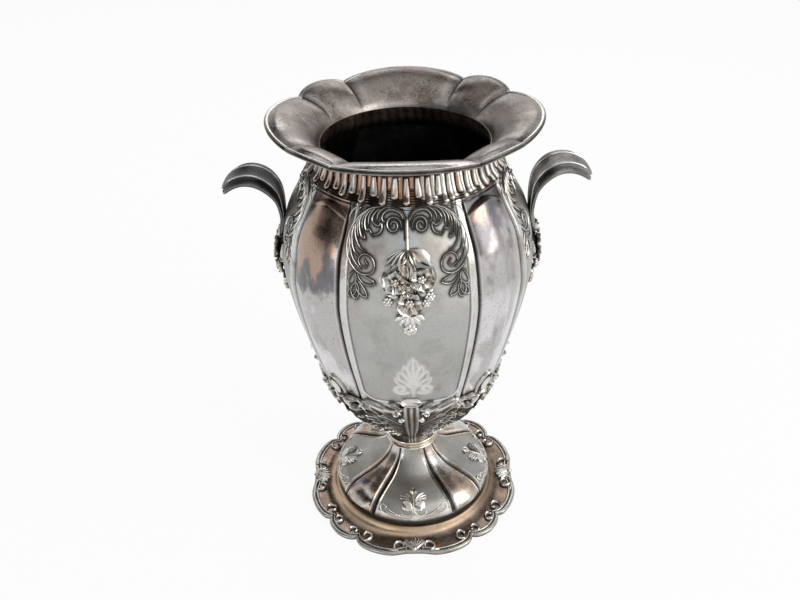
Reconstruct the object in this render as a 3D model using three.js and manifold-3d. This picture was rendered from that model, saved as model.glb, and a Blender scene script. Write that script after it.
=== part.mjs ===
// A two-handled vase of silver sheet on a domed, lobed foot. Millimetres, +Z up.
// The origin is the middle of the surface that it stands on, and its front faces -Y.
import * as THREE from 'three'
import { mergeVertices } from 'three/addons/utils/BufferGeometryUtils.js'
import Module from 'manifold-3d'

const wasm = await Module()
wasm.setup()

// Sheet and the gap that is left between soldered neighbours
const sheetThickness = 1.5
const seamGap = 0.3

// Foot plate, its cast border and the collar on it
const plateLobeRadius = 80.4
const plateNotchRadius = 75.2
const plateShellRadius = 77.2
const plateNotchAngle = 34.3
const plateEdgeHeight = 5
const plateSeatHeight = 8
const plateBoreRadius = 46
const skirtWidth = 2.4
const borderWidth = 4.8
const borderHeight = 2.6
const collarHeight = 5.8
const collarWidth = 4
const collarStepWidth = 0.5

// Domed foot
const domeRadius = 58
const domeHeight = 32.2
const domeTopRadius = 16.5
const domeFlangeWidth = 6

// Knop, and the stud that ties the body to the foot
const knopHeight = 8
const knopRadius = 19
const knopWaistRadius = 17.2
const studRadius = 4
const studHeadRadius = 9
const studHeadHeight = 3
const studRunningGap = 0.5
const studTailLength = 4
const washerRadius = 11
const washerThickness = 2
const nutAcrossCorners = 15
const nutHeight = 6

// Body
const bodyHeight = 214
const bellyHeight = 151
const bellyRadius = 80.5
const bodyFootRadius = 15.5
const shoulderRadius = 60
const panelHalfAngle = 31
const reliefFadeInHeight = 43
const reliefFadeOutHeight = 12
const stripWidth = 5.3
const stripHeight = 0.6
const grooveWidth = 2.7
const grooveDepth = 1.2
const lobeHeight = 2

// Neck and mouth
const neckHeight = 15
const neckTopRadius = 54.3
const neckOverlapWidth = 1
const neckLapDrop = 1.2
const neckLapThickness = 0.6
const reedCount = 56
const reedDepth = 1.3
const reedWidth = 3
const longReedEnd = 1
const shortReedEnd = 5.5
const reedEndStep = 0.6
const mouthHeight = 17
const widePetalRadius = 80.4
const narrowPetalRadius = 78.4
const petalNotchRadius = 76.2
const petalNotchDrop = 3.2
const petalCrestDrop = 1.6
const petalHalfAngle = 30.9
const petalRoundness = 0.8
const mouthSheetThickness = 1.2
const rimWireRadius = 1.3

// Handles
const handleReach = 113
const curlGap = 6.7
const curlDrop = 22
const handleFootDrop = 44
const reedStrapWidth = 24
const reedStrapFootWidth = 17
const strapThickness = 3.6
const curlStart = 176
const middleReedEnd = 18
const sideReedEnd = 30

// Cast ornament on the body
const bouquetHeight = 162
const sideBouquetDrop = 18
const bouquetThickness = 5.4
const roseRadius = 7
const stalkRadius = 1.2
const stalkBottomHeight = 17
const leafHeight = 81
const leafThickness = 1.5
const leafSeatGap = 0.6
const leafTipRadius = 6
const midribWidth = 11
const midribHeight = 1.3
const frondWidth = 6.4
const frondHeight = 1.3
const loopHeight = 20
const loopWidth = 13
const loopWireRadius = 1.2
const loopBottom = 70

// Heights of the seats, from the ground up
const collarTop = plateSeatHeight + collarHeight
const domeTop = collarTop + domeHeight
const bodyBottom = domeTop + knopHeight
const bellyZ = bodyBottom + bellyHeight
const bodyTop = bodyBottom + bodyHeight
const neckTop = bodyTop + neckHeight
const mouthTop = neckTop + mouthHeight

const { degToRad, lerp, clamp, smoothstep } = THREE.MathUtils
const quarter = Math.PI / 2
const eighth = Math.PI / 4

const finishes = {
  polished: { color: 0x8f8a88, roughness: 0.3, metalness: 1 },
  matted: { color: 0x85837f, roughness: 0.45, metalness: 1 },
  tarnished: { color: 0x6d6158, roughness: 0.4, metalness: 1 },
  gilded: { color: 0x9a7a58, roughness: 0.4, metalness: 1 },
  cast: { color: 0x7c7976, roughness: 0.38, metalness: 1 },
  dark: { color: 0x4a4a4d, roughness: 0.42, metalness: 1 },
  brass: { color: 0xb09566, roughness: 0.35, metalness: 1 },
  steel: { color: 0x8a8d90, roughness: 0.4, metalness: 1 },
}

// A smooth curve through points, given as a function of their first coordinate
function curveThrough(points) {
  const last = points.length - 1
  const slopes = points.map((point, i) => {
    const before = points[Math.max(i - 1, 0)]
    const after = points[Math.min(i + 1, last)]
    return (after[1] - before[1]) / (after[0] - before[0])
  })
  return x => {
    let i = 0
    while (i < last - 1 && x > points[i + 1][0]) i++
    const [x0, y0] = points[i]
    const [x1, y1] = points[i + 1]
    const span = x1 - x0
    const t = clamp((x - x0) / span, 0, 1)
    const fromStart = (1 + 2 * t) * (1 - t) ** 2 * y0 + t * (1 - t) ** 2 * span * slopes[i]
    const fromEnd = t * t * (3 - 2 * t) * y1 + t * t * (t - 1) * span * slopes[i + 1]
    return fromStart + fromEnd
  }
}

// A point at a turn from the front towards +X, a distance from the axis and a height
function around(angle, radius, z) {
  return new THREE.Vector3(radius * Math.sin(angle), -radius * Math.cos(angle), z)
}

function steps(count, from = 0, to = 1) {
  return Array.from({ length: count + 1 }, (_, i) => lerp(from, to, i / count))
}

// A closed body through rings of points: each ring is a loop, and the row of rings
// either runs into itself or is capped at both ends
function loft(rings, runsIntoItself = true) {
  const perRing = rings[0].length
  const positions = rings.flat().flatMap(point => point.toArray())
  const index = []
  const rows = runsIntoItself ? rings.length : rings.length - 1
  for (let row = 0; row < rows; row++) {
    const here = row * perRing
    const next = ((row + 1) % rings.length) * perRing
    for (let i = 0; i < perRing; i++) {
      const j = (i + 1) % perRing
      index.push(here + i, here + j, next + j, here + i, next + j, next + i)
    }
  }
  if (!runsIntoItself) {
    for (const [row, flip] of [[0, true], [rings.length - 1, false]]) {
      const middle = new THREE.Vector3()
      for (const point of rings[row]) middle.addScaledVector(point, 1 / perRing)
      const centre = positions.length / 3
      positions.push(...middle.toArray())
      for (let i = 0; i < perRing; i++) {
        const a = row * perRing + i
        const b = row * perRing + (i + 1) % perRing
        index.push(centre, flip ? b : a, flip ? a : b)
      }
    }
  }
  return facingOut(positions, index)
}

// A closed body between two like grids of points, an outside and an inside one
function plateBetween(outside, inside) {
  const columns = outside[0].length
  const rows = outside.length
  const positions = [...outside.flat(), ...inside.flat()].flatMap(point => point.toArray())
  const under = rows * columns
  const index = []
  const quad = (a, b, c, d) => index.push(a, b, c, a, c, d)
  for (let row = 0; row < rows - 1; row++) {
    for (let i = 0; i < columns - 1; i++) {
      const [a, b] = [row * columns + i, row * columns + i + 1]
      quad(a, b, b + columns, a + columns)
      quad(under + a, under + a + columns, under + b + columns, under + b)
    }
    const [first, last] = [row * columns, row * columns + columns - 1]
    quad(first, first + columns, under + first + columns, under + first)
    quad(last, under + last, under + last + columns, last + columns)
  }
  for (let i = 0; i < columns - 1; i++) {
    const top = (rows - 1) * columns + i
    quad(i, under + i, under + i + 1, i + 1)
    quad(top, top + 1, under + top + 1, under + top)
  }
  return facingOut(positions, index)
}

// Six times the volume inside the triangles says whether they face out
function facingOut(positions, index) {
  const [a, b, c] = [new THREE.Vector3(), new THREE.Vector3(), new THREE.Vector3()]
  let volume = 0
  for (let i = 0; i < index.length; i += 3) {
    a.fromArray(positions, 3 * index[i])
    b.fromArray(positions, 3 * index[i + 1])
    c.fromArray(positions, 3 * index[i + 2])
    volume += a.dot(b.cross(c))
  }
  if (volume < 0) index.reverse()
  const geometry = new THREE.BufferGeometry()
  geometry.setAttribute('position', new THREE.Float32BufferAttribute(positions, 3))
  geometry.setIndex(index)
  return geometry
}

function solidOf(geometry) {
  const bare = geometry.clone()
  bare.deleteAttribute('normal')
  bare.deleteAttribute('uv')
  const merged = mergeVertices(bare)
  const vertProperties = merged.attributes.position.array
  const triVerts = Uint32Array.from(merged.index.array)
  return new wasm.Manifold(new wasm.Mesh({ numProp: 3, vertProperties, triVerts }))
}

function geometryOf(solid) {
  const mesh = solid.getMesh()
  const geometry = new THREE.BufferGeometry()
  geometry.setAttribute('position', new THREE.BufferAttribute(mesh.vertProperties, 3))
  geometry.setIndex(new THREE.BufferAttribute(mesh.triVerts, 1))
  return geometry
}

function joined(geometries) {
  return geometries.map(solidOf).reduce((whole, piece) => whole.add(piece))
}

// A body of revolution about the vertical axis, from [radius, height] corners
function turned(corners, segments = 40) {
  const closed = corners[0][0] > 0 ? [...corners, corners[0]] : corners
  const points = closed.map(([radius, height]) => new THREE.Vector2(radius, height))
  const geometry = new THREE.LatheGeometry(points, segments)
  geometry.rotateX(Math.PI / 2)
  geometry.deleteAttribute('normal')
  geometry.deleteAttribute('uv')
  const merged = mergeVertices(geometry)
  return facingOut(Array.from(merged.attributes.position.array), Array.from(merged.index.array))
}

const group = new THREE.Group()

function place(name, geometry, finish, angle = 0) {
  const mesh = new THREE.Mesh(geometry, new THREE.MeshStandardMaterial(finishes[finish]))
  mesh.name = name
  mesh.rotation.z = angle
  group.add(mesh)
}

// Angles round the body and the domed foot: close together at the grooves, wide between
const lobeHalf = degToRad(panelHalfAngle)
const grooveHalf = grooveWidth / 2 / bellyRadius
const stripOuter = lobeHalf - grooveHalf
const stripInner = stripOuter - stripWidth / bellyRadius
const lobeEdge = lobeHalf + grooveHalf
const halfQuarter = [stripInner / 2, stripInner, stripOuter, lobeHalf, lobeEdge, (lobeEdge + eighth) / 2]
const panelAngles = [0, 1, 2, 3].flatMap(turn => {
  const before = halfQuarter.map(angle => turn * quarter - angle).reverse()
  const after = halfQuarter.map(angle => turn * quarter + angle)
  return [...before, turn * quarter, ...after, turn * quarter + eighth]
})

// How far the sheet stands out from the plain round body: a raised strip and a groove
// along each side of a wide panel, and a rounded lobe between two panels
const halfRelief = [
  [0, 0], [stripInner, 0], [stripOuter, stripHeight], [lobeHalf, -grooveDepth], [lobeEdge, 0],
]
function panelRelief(angle) {
  const folded = Math.abs(angle - quarter * Math.round(angle / quarter))
  if (folded > lobeEdge) return lobeHeight * Math.cos(((eighth - folded) / (eighth - lobeEdge)) * quarter)
  const i = halfRelief.findIndex(([limit]) => folded <= limit + 1e-9)
  const [from, to] = [halfRelief[Math.max(i - 1, 0)], halfRelief[i]]
  return to[0] === from[0] ? to[1] : lerp(from[1], to[1], (folded - from[0]) / (to[0] - from[0]))
}

// Shares of the way up to the belly and out to it, then from the belly up to the neck
const lowerOutline = [
  [0, 0], [0.045, 0.03], [0.09, 0.11], [0.2, 0.35], [0.31, 0.55], [0.42, 0.68], [0.64, 0.84], [0.83, 0.945],
]
const upperOutline = [[0, 1], [0.24, 0.94], [0.49, 0.795], [0.62, 0.645], [0.75, 0.425], [1, 0]]
const bodyOutline = [
  ...lowerOutline.map(([up, out]) => [bodyBottom + up * bellyHeight, lerp(bodyFootRadius, bellyRadius, out)]),
  ...upperOutline.map(([up, out]) => [lerp(bellyZ, bodyTop, up), lerp(shoulderRadius, bellyRadius, out)]),
]
const bodyRadius = curveThrough(bodyOutline)

// A point on the body, or lifted off it square to its outline
function bodyPoint(angle, z, lift = 0) {
  const reach = 0.5
  const slope = (bodyRadius(z + reach) - bodyRadius(z - reach)) / (2 * reach)
  const slant = Math.hypot(1, slope)
  const fadeIn = smoothstep(z - bodyBottom, 0, reliefFadeInHeight)
  const fadeOut = smoothstep(bodyTop - z, 0, reliefFadeOutHeight)
  const radius = bodyRadius(z) + panelRelief(angle) * fadeIn * fadeOut
  return around(angle, radius + lift / slant, z - (lift * slope) / slant)
}

function bodyRing(z, lift = 0) {
  return panelAngles.map(angle => bodyPoint(angle, z, lift))
}

function levelRing(radius, z) {
  return panelAngles.map(angle => around(angle, radius, z))
}

function bodyShell() {
  const heights = bodyOutline.map(([z]) => z)
  const lowest = bodyBottom + 4 * sheetThickness
  const highest = bodyTop - 2 * sheetThickness
  const inner = heights.filter((z, i) => i % 2 === 0 && z > lowest && z < highest)
  return loft([
    ...heights.map(z => bodyRing(z)),
    levelRing(shoulderRadius - sheetThickness, bodyTop),
    ...inner.reverse().map(z => bodyRing(z, -sheetThickness)),
    levelRing(bodyFootRadius - sheetThickness, bodyBottom + sheetThickness),
  ], false)
}

// The room that the body takes, with the seam round it, for cutting what is soldered on
function bodyRoom() {
  const heights = bodyOutline.map(([z]) => z)
  return solidOf(loft(heights.map(z => bodyRing(z, seamGap)), false))
}
const room = bodyRoom()

function onBody(geometries) {
  return geometryOf(joined(geometries).subtract(room))
}

// Reeded band: reeds, long and short by turns, with a hollow between two of them. Their ends are
// heights over the body's edge. Under them the band's ground laps down over the shoulder, clear of
// it by the seam
const neckColumns = Array.from({ length: reedCount }, (_, i) => {
  const middle = (i * 2 * Math.PI) / reedCount
  const reedHalf = reedWidth / 2 / shoulderRadius
  const end = i % 2 === 0 ? longReedEnd : shortReedEnd
  return [
    { angle: middle - reedHalf, sunk: 0, end },
    { angle: middle + reedHalf, sunk: 0, end },
    { angle: middle + Math.PI / reedCount, sunk: reedDepth, end: (longReedEnd + shortReedEnd) / 2 },
  ]
}).flat()

// The reeds' radius by the height over the body's edge, with the waist given in shares of the way
// up and out, and the share of the height at which one more row follows that curve
const waistUp = 0.35
const waistOut = 0.55
const rowUp = 0.6
const reedRadius = curveThrough([
  [0, shoulderRadius + neckOverlapWidth + reedDepth],
  [waistUp * neckHeight, lerp(neckTopRadius, shoulderRadius, waistOut)],
  [neckHeight, neckTopRadius],
])

function neckBand() {
  const ring = (heightAt, radiusAt) => neckColumns.map(column =>
    around(column.angle, radiusAt(column), bodyTop + heightAt(column)))
  const reedRing = heightAt => ring(heightAt, column => reedRadius(heightAt(column)) - column.sunk)
  const groundRing = heightAt => ring(heightAt, column => reedRadius(heightAt(column)) - reedDepth)
  const lapEnd = lift => neckColumns.map(({ angle }) => bodyPoint(angle, bodyTop - neckLapDrop, lift))
  const innerRadius = outer => outer - reedDepth - sheetThickness
  return loft([
    reedRing(() => neckHeight),
    reedRing(() => rowUp * neckHeight),
    reedRing(({ end }) => end),
    groundRing(({ end }) => end - reedEndStep),
    lapEnd(seamGap + neckLapThickness),
    lapEnd(seamGap),
    ring(() => 0, () => shoulderRadius + seamGap),
    ring(() => 0, () => innerRadius(shoulderRadius + neckOverlapWidth)),
    ring(() => neckHeight, () => innerRadius(neckTopRadius)),
  ])
}

// The mouth: eight petals, four wide and four narrow, pinched at the notches between
const notchAngle = degToRad(petalHalfAngle)
const wideSteps = 6
const narrowSteps = 4
const petalAngles = [0, 1, 2, 3].flatMap(turn => [
  ...steps(wideSteps, -notchAngle, notchAngle).slice(0, -1),
  ...steps(narrowSteps, notchAngle, quarter - notchAngle).slice(0, -1),
].map(angle => angle + turn * quarter))

// How far an angle lies from a notch (0) towards a petal's middle (1), and that petal's edge
function petalAt(angle) {
  const folded = angle - quarter * Math.floor((angle + notchAngle) / quarter + 1e-9)
  const isWide = folded < notchAngle - 1e-9
  const share = isWide
    ? (folded + notchAngle) / (2 * notchAngle)
    : (folded - notchAngle) / (quarter - 2 * notchAngle)
  const swell = Math.sin(Math.PI * clamp(share, 0, 1)) ** petalRoundness
  return { swell, edge: isWide ? widePetalRadius : narrowPetalRadius }
}

// Shares of the way out to the edge and up to the top: along a crease, and along a petal's middle
const creaseLine = [[0, 0], [0.09, 0.24], [0.28, 0.56], [0.53, 0.8], [0.8, 0.95], [1, 1]]
const petalLine = [[0, 0], [0.08, 0.28], [0.28, 0.66], [0.53, 0.94], [0.82, 1.08], [1, 1]]
const edgeRow = creaseLine.length - 1
const throatRadius = neckTopRadius - reedDepth - sheetThickness + seamGap / 2

function petalOutline(angle, row) {
  const { swell, edge } = petalAt(angle)
  const [creaseOut, creaseUp] = creaseLine[row]
  const [petalOut, petalUp] = petalLine[row]
  const creaseRadius = lerp(throatRadius, petalNotchRadius, creaseOut)
  const radius = lerp(creaseRadius, lerp(throatRadius, edge, petalOut), swell)
  const creaseZ = lerp(neckTop, mouthTop - petalNotchDrop, creaseUp)
  const petalZ = lerp(neckTop, mouthTop - petalCrestDrop, petalUp)
  return new THREE.Vector2(radius, lerp(creaseZ, petalZ, swell))
}

// The outline's direction outwards at a row; it starts straight up out of the neck
function petalDirection(angle, row) {
  if (row === 0) return new THREE.Vector2(0, 1)
  return petalOutline(angle, Math.min(row + 1, edgeRow)).sub(petalOutline(angle, row - 1)).normalize()
}

function mouthPoint(angle, row, depth = 0) {
  const point = petalOutline(angle, row)
  const along = petalDirection(angle, row)
  return around(angle, point.x + depth * along.y, point.y - depth * along.x)
}

function mouthFlare() {
  const rows = creaseLine.map((_, row) => row)
  const above = rows.map(row => petalAngles.map(angle => mouthPoint(angle, row)))
  const below = [...rows].reverse().map(row =>
    petalAngles.map(angle => mouthPoint(angle, row, mouthSheetThickness)))
  return loft([...above, ...below])
}

// The wire lies along the petals' edge, clear of it by the seam
function rimWire() {
  const turns = steps(5, 0, 2 * Math.PI).slice(0, -1)
  return loft(turns.map(turn => petalAngles.map(angle => {
    const edge = petalOutline(angle, edgeRow)
    const along = petalDirection(angle, edgeRow)
    const middle = edge.addScaledVector(along, rimWireRadius + seamGap)
    middle.x += (mouthSheetThickness / 2) * along.y
    middle.y -= (mouthSheetThickness / 2) * along.x
    return around(angle, middle.x + rimWireRadius * Math.cos(turn), middle.y + rimWireRadius * Math.sin(turn))
  })))
}

// The line of a handle's middle in the plane of the side panel: up the body, then round the curl.
// The curl fills the room from a gap beside the body out to the handle's reach.
// It leaves the body a little below the curl's middle
const curlZ = bodyTop - curlDrop
const curlRadius = (handleReach - bodyRadius(curlZ) - curlGap) / 2
const curlX = handleReach - curlRadius
const handleFootZ = bodyTop - handleFootDrop
const handleLeaveZ = curlZ - 0.7 * curlRadius
const handleLift = strapThickness / 2 + seamGap / 2
function handleLine(curlEnd) {
  const seat = steps(2, handleFootZ, handleLeaveZ).map(z => {
    const point = bodyPoint(quarter, z, handleLift)
    return new THREE.Vector3(point.x, 0, point.z)
  })
  const curl = steps(8, degToRad(curlStart), degToRad(curlEnd)).map(turn =>
    new THREE.Vector3(curlX + curlRadius * Math.cos(turn), 0, curlZ + curlRadius * Math.sin(turn)))
  return [...seat, ...curl]
}

// One reed of a handle: an oval section carried along the line, smaller at its foot and round at its tip
const footTaper = 0.5
const tipTaper = [0.85, 0.35]
function handleReed(side, curlEnd) {
  const line = handleLine(curlEnd)
  const last = line.length - 1
  const across = new THREE.Vector3(0, 1, 0)
  return loft(line.map((point, i) => {
    const along = line[Math.min(i + 1, last)].clone().sub(line[Math.max(i - 1, 0)]).normalize()
    const outwards = across.clone().cross(along)
    const width = lerp(reedStrapFootWidth, reedStrapWidth, smoothstep(i, 0, last / 2)) / 3
    const tip = i === 0 ? footTaper : tipTaper[i - last + 1] ?? 1
    return steps(6, 0, 2 * Math.PI).slice(0, -1).map(turn => point.clone()
      .addScaledVector(across, side * width + tip * (width / 2 + seamGap) * Math.cos(turn))
      .addScaledVector(outwards, tip * (strapThickness / 2) * Math.sin(turn)))
  }), false)
}

function handle() {
  return onBody([handleReed(0, middleReedEnd), handleReed(-1, sideReedEnd), handleReed(1, sideReedEnd)])
}

// An oval lump seated on the body, at a distance sideways from a panel's middle and a height.
// The seat is the share of its depth by which its middle stands off the body
function lump(sideways, z, [halfWidth, halfHeight, halfDepth], tilt = 0, seat = 0.3) {
  const angle = sideways / bodyRadius(z)
  const middle = bodyPoint(angle, z, halfDepth * seat + seamGap)
  const outwards = bodyPoint(angle, z, 1 + halfDepth * seat + seamGap).sub(middle)
  const right = new THREE.Vector3(0, 0, 1).cross(outwards).normalize()
  const up = outwards.clone().cross(right)
  const isLarge = halfWidth > 0.85 * roseRadius
  const isLong = halfHeight > 2 * halfWidth
  const sides = isLarge ? 8 : isLong ? 4 : 6
  const geometry = new THREE.SphereGeometry(1, sides, isLarge ? 5 : 4)
  geometry.rotateX(quarter)
  geometry.scale(halfWidth, halfHeight, halfDepth)
  geometry.rotateZ(tilt)
  geometry.applyMatrix4(new THREE.Matrix4().makeBasis(right, up, outwards).setPosition(middle))
  return geometry
}

// A stalk that lies on the body up the middle of a panel
function stalk(fromZ, toZ, radius) {
  const lift = radius / 2 + seamGap
  return loft(steps(4, fromZ, toZ).map(z => {
    const middle = bodyPoint(0, z, lift)
    const outwards = bodyPoint(0, z, 1 + lift).sub(middle)
    const right = new THREE.Vector3(1, 0, 0)
    return steps(6, 0, 2 * Math.PI).slice(0, -1).map(turn => middle.clone()
      .addScaledVector(right, radius * Math.cos(turn))
      .addScaledVector(outwards, radius * Math.sin(turn)))
  }), false)
}

// What a bouquet holds, as distances sideways and up from its middle and half sizes, all in shares
// of a rose's radius: a backing, two roses side by side, a smaller flower under them, two florets,
// a fan leaf and a last floret
const bouquetBlossoms = [
  [0, 0.57, 1.21, 2.86],
  [-1.09, 2.29, 1, 1],
  [1.09, 2.29, 1, 1],
  [0, 0.43, 0.94, 0.94],
  [-1.54, 0.5, 0.49, 0.49],
  [1.54, 0.64, 0.49, 0.49],
  [0, -1.36, 1.14, 0.79],
  [0, -2.29, 0.63, 0.63],
]
const bouquetLeaves = [[-1.14, 3.21, 0.79, 0.46, 0.6], [1.14, 3.21, 0.79, 0.46, -0.5]]
const flatShare = 0.6
function bouquet(drop, hasStalk) {
  const z = bodyBottom + bouquetHeight - drop
  const flatThickness = bouquetThickness * flatShare
  const pieces = bouquetBlossoms.map(([sideways, up, width, height]) => {
    const halfDepth = width <= 1 ? bouquetThickness : flatThickness
    const halfSizes = [width * roseRadius, height * roseRadius, halfDepth]
    return lump(sideways * roseRadius, z + up * roseRadius, halfSizes)
  })
  if (hasStalk) {
    const stalkTop = bodyTop - neckLapDrop - seamGap - stalkRadius / 2
    pieces.push(stalk(z + stalkBottomHeight, stalkTop, stalkRadius))
    for (const [sideways, up, width, height, tilt] of bouquetLeaves) {
      const halfSizes = [width * roseRadius, height * roseRadius, flatThickness]
      pieces.push(lump(sideways * roseRadius, z + up * roseRadius, halfSizes, tilt))
    }
  }
  return onBody(pieces)
}

// An acanthus leaf wrapped on the body: its top edge is lobed, and its tip curls out
const leafHalfAngle = degToRad(43)
const leafStart = 0.03
const leafTop = curveThrough([[0, 0.97], [0.2, 0.86], [0.42, 0.87], [0.65, 0.9], [0.85, 0.78], [1, 0.86]])
// Across the midrib, in shares of its half width and height: a groove up the middle and a rib beside it
const midribSection = [[0, 0.5], [0.55, 1], [1, 0]]
// Fronds on each side, from the top down: shares of the leaf's height sideways, up and in half length
const leafFronds = [[0.27, 0.77, 0.23], [0.22, 0.62, 0.19], [0.17, 0.47, 0.14]]
const frondTilt = degToRad(-55)
function calyxLeaf() {
  const half = [stripInner, lobeHalf, (lobeEdge + eighth) / 2, leafHalfAngle]
  const grid = (lift, midribLift) => steps(6, leafStart, 1).map(up => {
    const midrib = midribWidth / 2 / bodyRadius(bodyBottom + up * leafHeight)
    const across = [
      ...midribSection.map(([share, height]) => [share * midrib, height * midribLift]),
      ...half.map(angle => [angle, 0]),
    ]
    const columns = [...across.slice(1).map(([angle, height]) => [-angle, height]).reverse(), ...across]
    return columns.map(([angle, height]) =>
      bodyPoint(angle, bodyBottom + up * leafHeight * leafTop(Math.abs(angle) / leafHalfAngle), lift + height))
  })
  const tipZ = bodyBottom + leafHeight - leafTipRadius / 2
  const tip = lump(0, tipZ, [leafTipRadius, leafTipRadius * 0.6, leafTipRadius * 0.4], 0, 1)
  const halfDepth = leafThickness + frondHeight
  const fronds = leafFronds.flatMap(([sideways, up, halfLength]) => [-1, 1].map(side => {
    const halfSizes = [frondWidth / 2, halfLength * leafHeight, halfDepth]
    return lump(side * sideways * leafHeight, bodyBottom + up * leafHeight, halfSizes, side * frondTilt, 0.1)
  }))
  const sheet = plateBetween(grid(leafSeatGap + leafThickness, midribHeight), grid(leafSeatGap, 0))
  return onBody([sheet, tip, ...fronds])
}

// A pointed oval loop of wire that stands on the body between two leaves
function calyxLoop() {
  const lift = loopWireRadius / 2
  const middleZ = bodyBottom + loopBottom + loopHeight / 2
  const path = turn => {
    const z = middleZ + (loopHeight / 2) * Math.sin(turn)
    const angle = eighth + ((loopWidth / 2) * Math.cos(turn)) / bodyRadius(z)
    return [angle, z]
  }
  return onBody([loft(steps(10, 0, 2 * Math.PI).slice(0, -1).map(turn => {
    const middle = bodyPoint(...path(turn), lift)
    const outwards = bodyPoint(...path(turn), 1 + lift).sub(middle)
    const along = bodyPoint(...path(turn + 0.1)).sub(bodyPoint(...path(turn - 0.1))).normalize()
    const sideways = outwards.clone().cross(along)
    return steps(5, 0, 2 * Math.PI).slice(0, -1).map(roll => middle.clone()
      .addScaledVector(sideways, loopWireRadius * Math.cos(roll))
      .addScaledVector(outwards, loopWireRadius * Math.sin(roll)))
  }))])
}

// The domed foot: a trumpet under the knop that swells to a round edge, with a turned-in flange.
// Shares of the way out to the edge and up to the top
const domeLine = [
  [0, 1], [0.05, 0.81], [0.15, 0.65], [0.32, 0.5], [0.6, 0.39], [0.84, 0.28], [0.96, 0.13], [1, 0],
]
const domeLast = domeLine.length - 1
function domeOutline(row) {
  const [out, up] = domeLine[row]
  return new THREE.Vector2(lerp(domeTopRadius, domeRadius, out), lerp(collarTop, domeTop, up))
}

function domePoint(angle, row, depth = 0) {
  const point = domeOutline(row)
  const isEnd = row === 0 || row === domeLast
  const along = domeOutline(Math.min(row + 1, domeLast)).sub(domeOutline(Math.max(row - 1, 0))).normalize()
  const out = isEnd ? -depth : panelRelief(angle) * domeLine[row][0] - depth
  return around(angle, point.x - out * along.y, point.y + (isEnd ? 0 : out * along.x))
}

function footDome() {
  const rows = domeLine.map((_, row) => row)
  const boreRadius = studRadius + studRunningGap
  const underRows = [5, 3, 1]
  return loft([
    levelRing(boreRadius, domeTop),
    ...rows.map(row => panelAngles.map(angle => domePoint(angle, row))),
    levelRing(domeRadius - domeFlangeWidth, collarTop),
    levelRing(domeRadius - domeFlangeWidth, collarTop + sheetThickness),
    ...underRows.map(row => panelAngles.map(angle => domePoint(angle, row, sheetThickness))),
    levelRing(domeTopRadius - sheetThickness, domeTop - sheetThickness),
    levelRing(boreRadius, domeTop - sheetThickness),
  ])
}

function footCollar() {
  const outer = domeRadius - domeFlangeWidth / 2
  return turned([
    [outer, plateSeatHeight],
    [outer, collarTop],
    [outer - collarWidth, collarTop],
    [outer - collarWidth, plateSeatHeight],
  ])
}

// The foot plate's outline: in each eighth of a turn it runs from a shell over a long lobe
// to a notch, and from there up to the middle of a short lobe
const plateNotch = degToRad(plateNotchAngle)
const longLobe = curveThrough([
  [0, plateShellRadius],
  [0.15, lerp(plateShellRadius, plateLobeRadius, 0.12)],
  [0.35, lerp(plateShellRadius, plateLobeRadius, 0.78)],
  [0.58, plateLobeRadius],
  [0.8, lerp(plateShellRadius, plateLobeRadius, 0.85)],
  [0.92, lerp(plateNotchRadius, plateLobeRadius, 0.6)],
  [1, plateNotchRadius],
])
const shortLobe = curveThrough([
  [0, plateNotchRadius],
  [0.22, lerp(plateNotchRadius, plateLobeRadius, 0.5)],
  [0.58, lerp(plateNotchRadius, plateLobeRadius, 0.85)],
  [1, plateLobeRadius],
])
const lobeShares = [0, 0.15, 0.35, 0.58, 0.8, 0.92]
const halfLobes = [
  ...lobeShares.map(share => share * plateNotch),
  ...[0, 0.22, 0.58].map(share => lerp(plateNotch, eighth, share)),
]
const plateAngles = [0, 1, 2, 3].flatMap(turn => [
  ...halfLobes.map(angle => turn * quarter + angle),
  turn * quarter + eighth,
  ...halfLobes.slice(1).map(angle => (turn + 1) * quarter - angle).reverse(),
])

function plateOutline(angle) {
  const folded = Math.abs(angle - quarter * Math.round(angle / quarter))
  return folded <= plateNotch
    ? longLobe(folded / plateNotch)
    : shortLobe((folded - plateNotch) / (eighth - plateNotch))
}

function lobedRing(inset, z) {
  return plateAngles.map(angle => around(angle, plateOutline(angle) - inset, z))
}

// Foot plate: a skirt to stand on, a flat edge for the border, a shallow channel, and the collar's seat
const channelRadius = plateShellRadius - 2 * borderWidth
const channelDepth = 0.9
const seatRadius = domeRadius - collarStepWidth
const seatSlopeWidth = 4.5
function footPlate() {
  const round = (radius, z) => plateAngles.map(angle => around(angle, radius, z))
  return loft([
    lobedRing(0, 0),
    lobedRing(0, plateEdgeHeight),
    lobedRing(borderWidth + seamGap, plateEdgeHeight),
    round(channelRadius, plateEdgeHeight - channelDepth),
    round(seatRadius + seatSlopeWidth, plateEdgeHeight),
    round(seatRadius, plateSeatHeight),
    round(plateBoreRadius, plateSeatHeight),
    round(plateBoreRadius, plateSeatHeight - sheetThickness),
    round(seatRadius - sheetThickness, plateSeatHeight - sheetThickness),
    round(channelRadius, plateEdgeHeight - channelDepth - sheetThickness),
    lobedRing(skirtWidth, plateEdgeHeight - sheetThickness),
    lobedRing(skirtWidth, 0),
  ])
}

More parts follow.
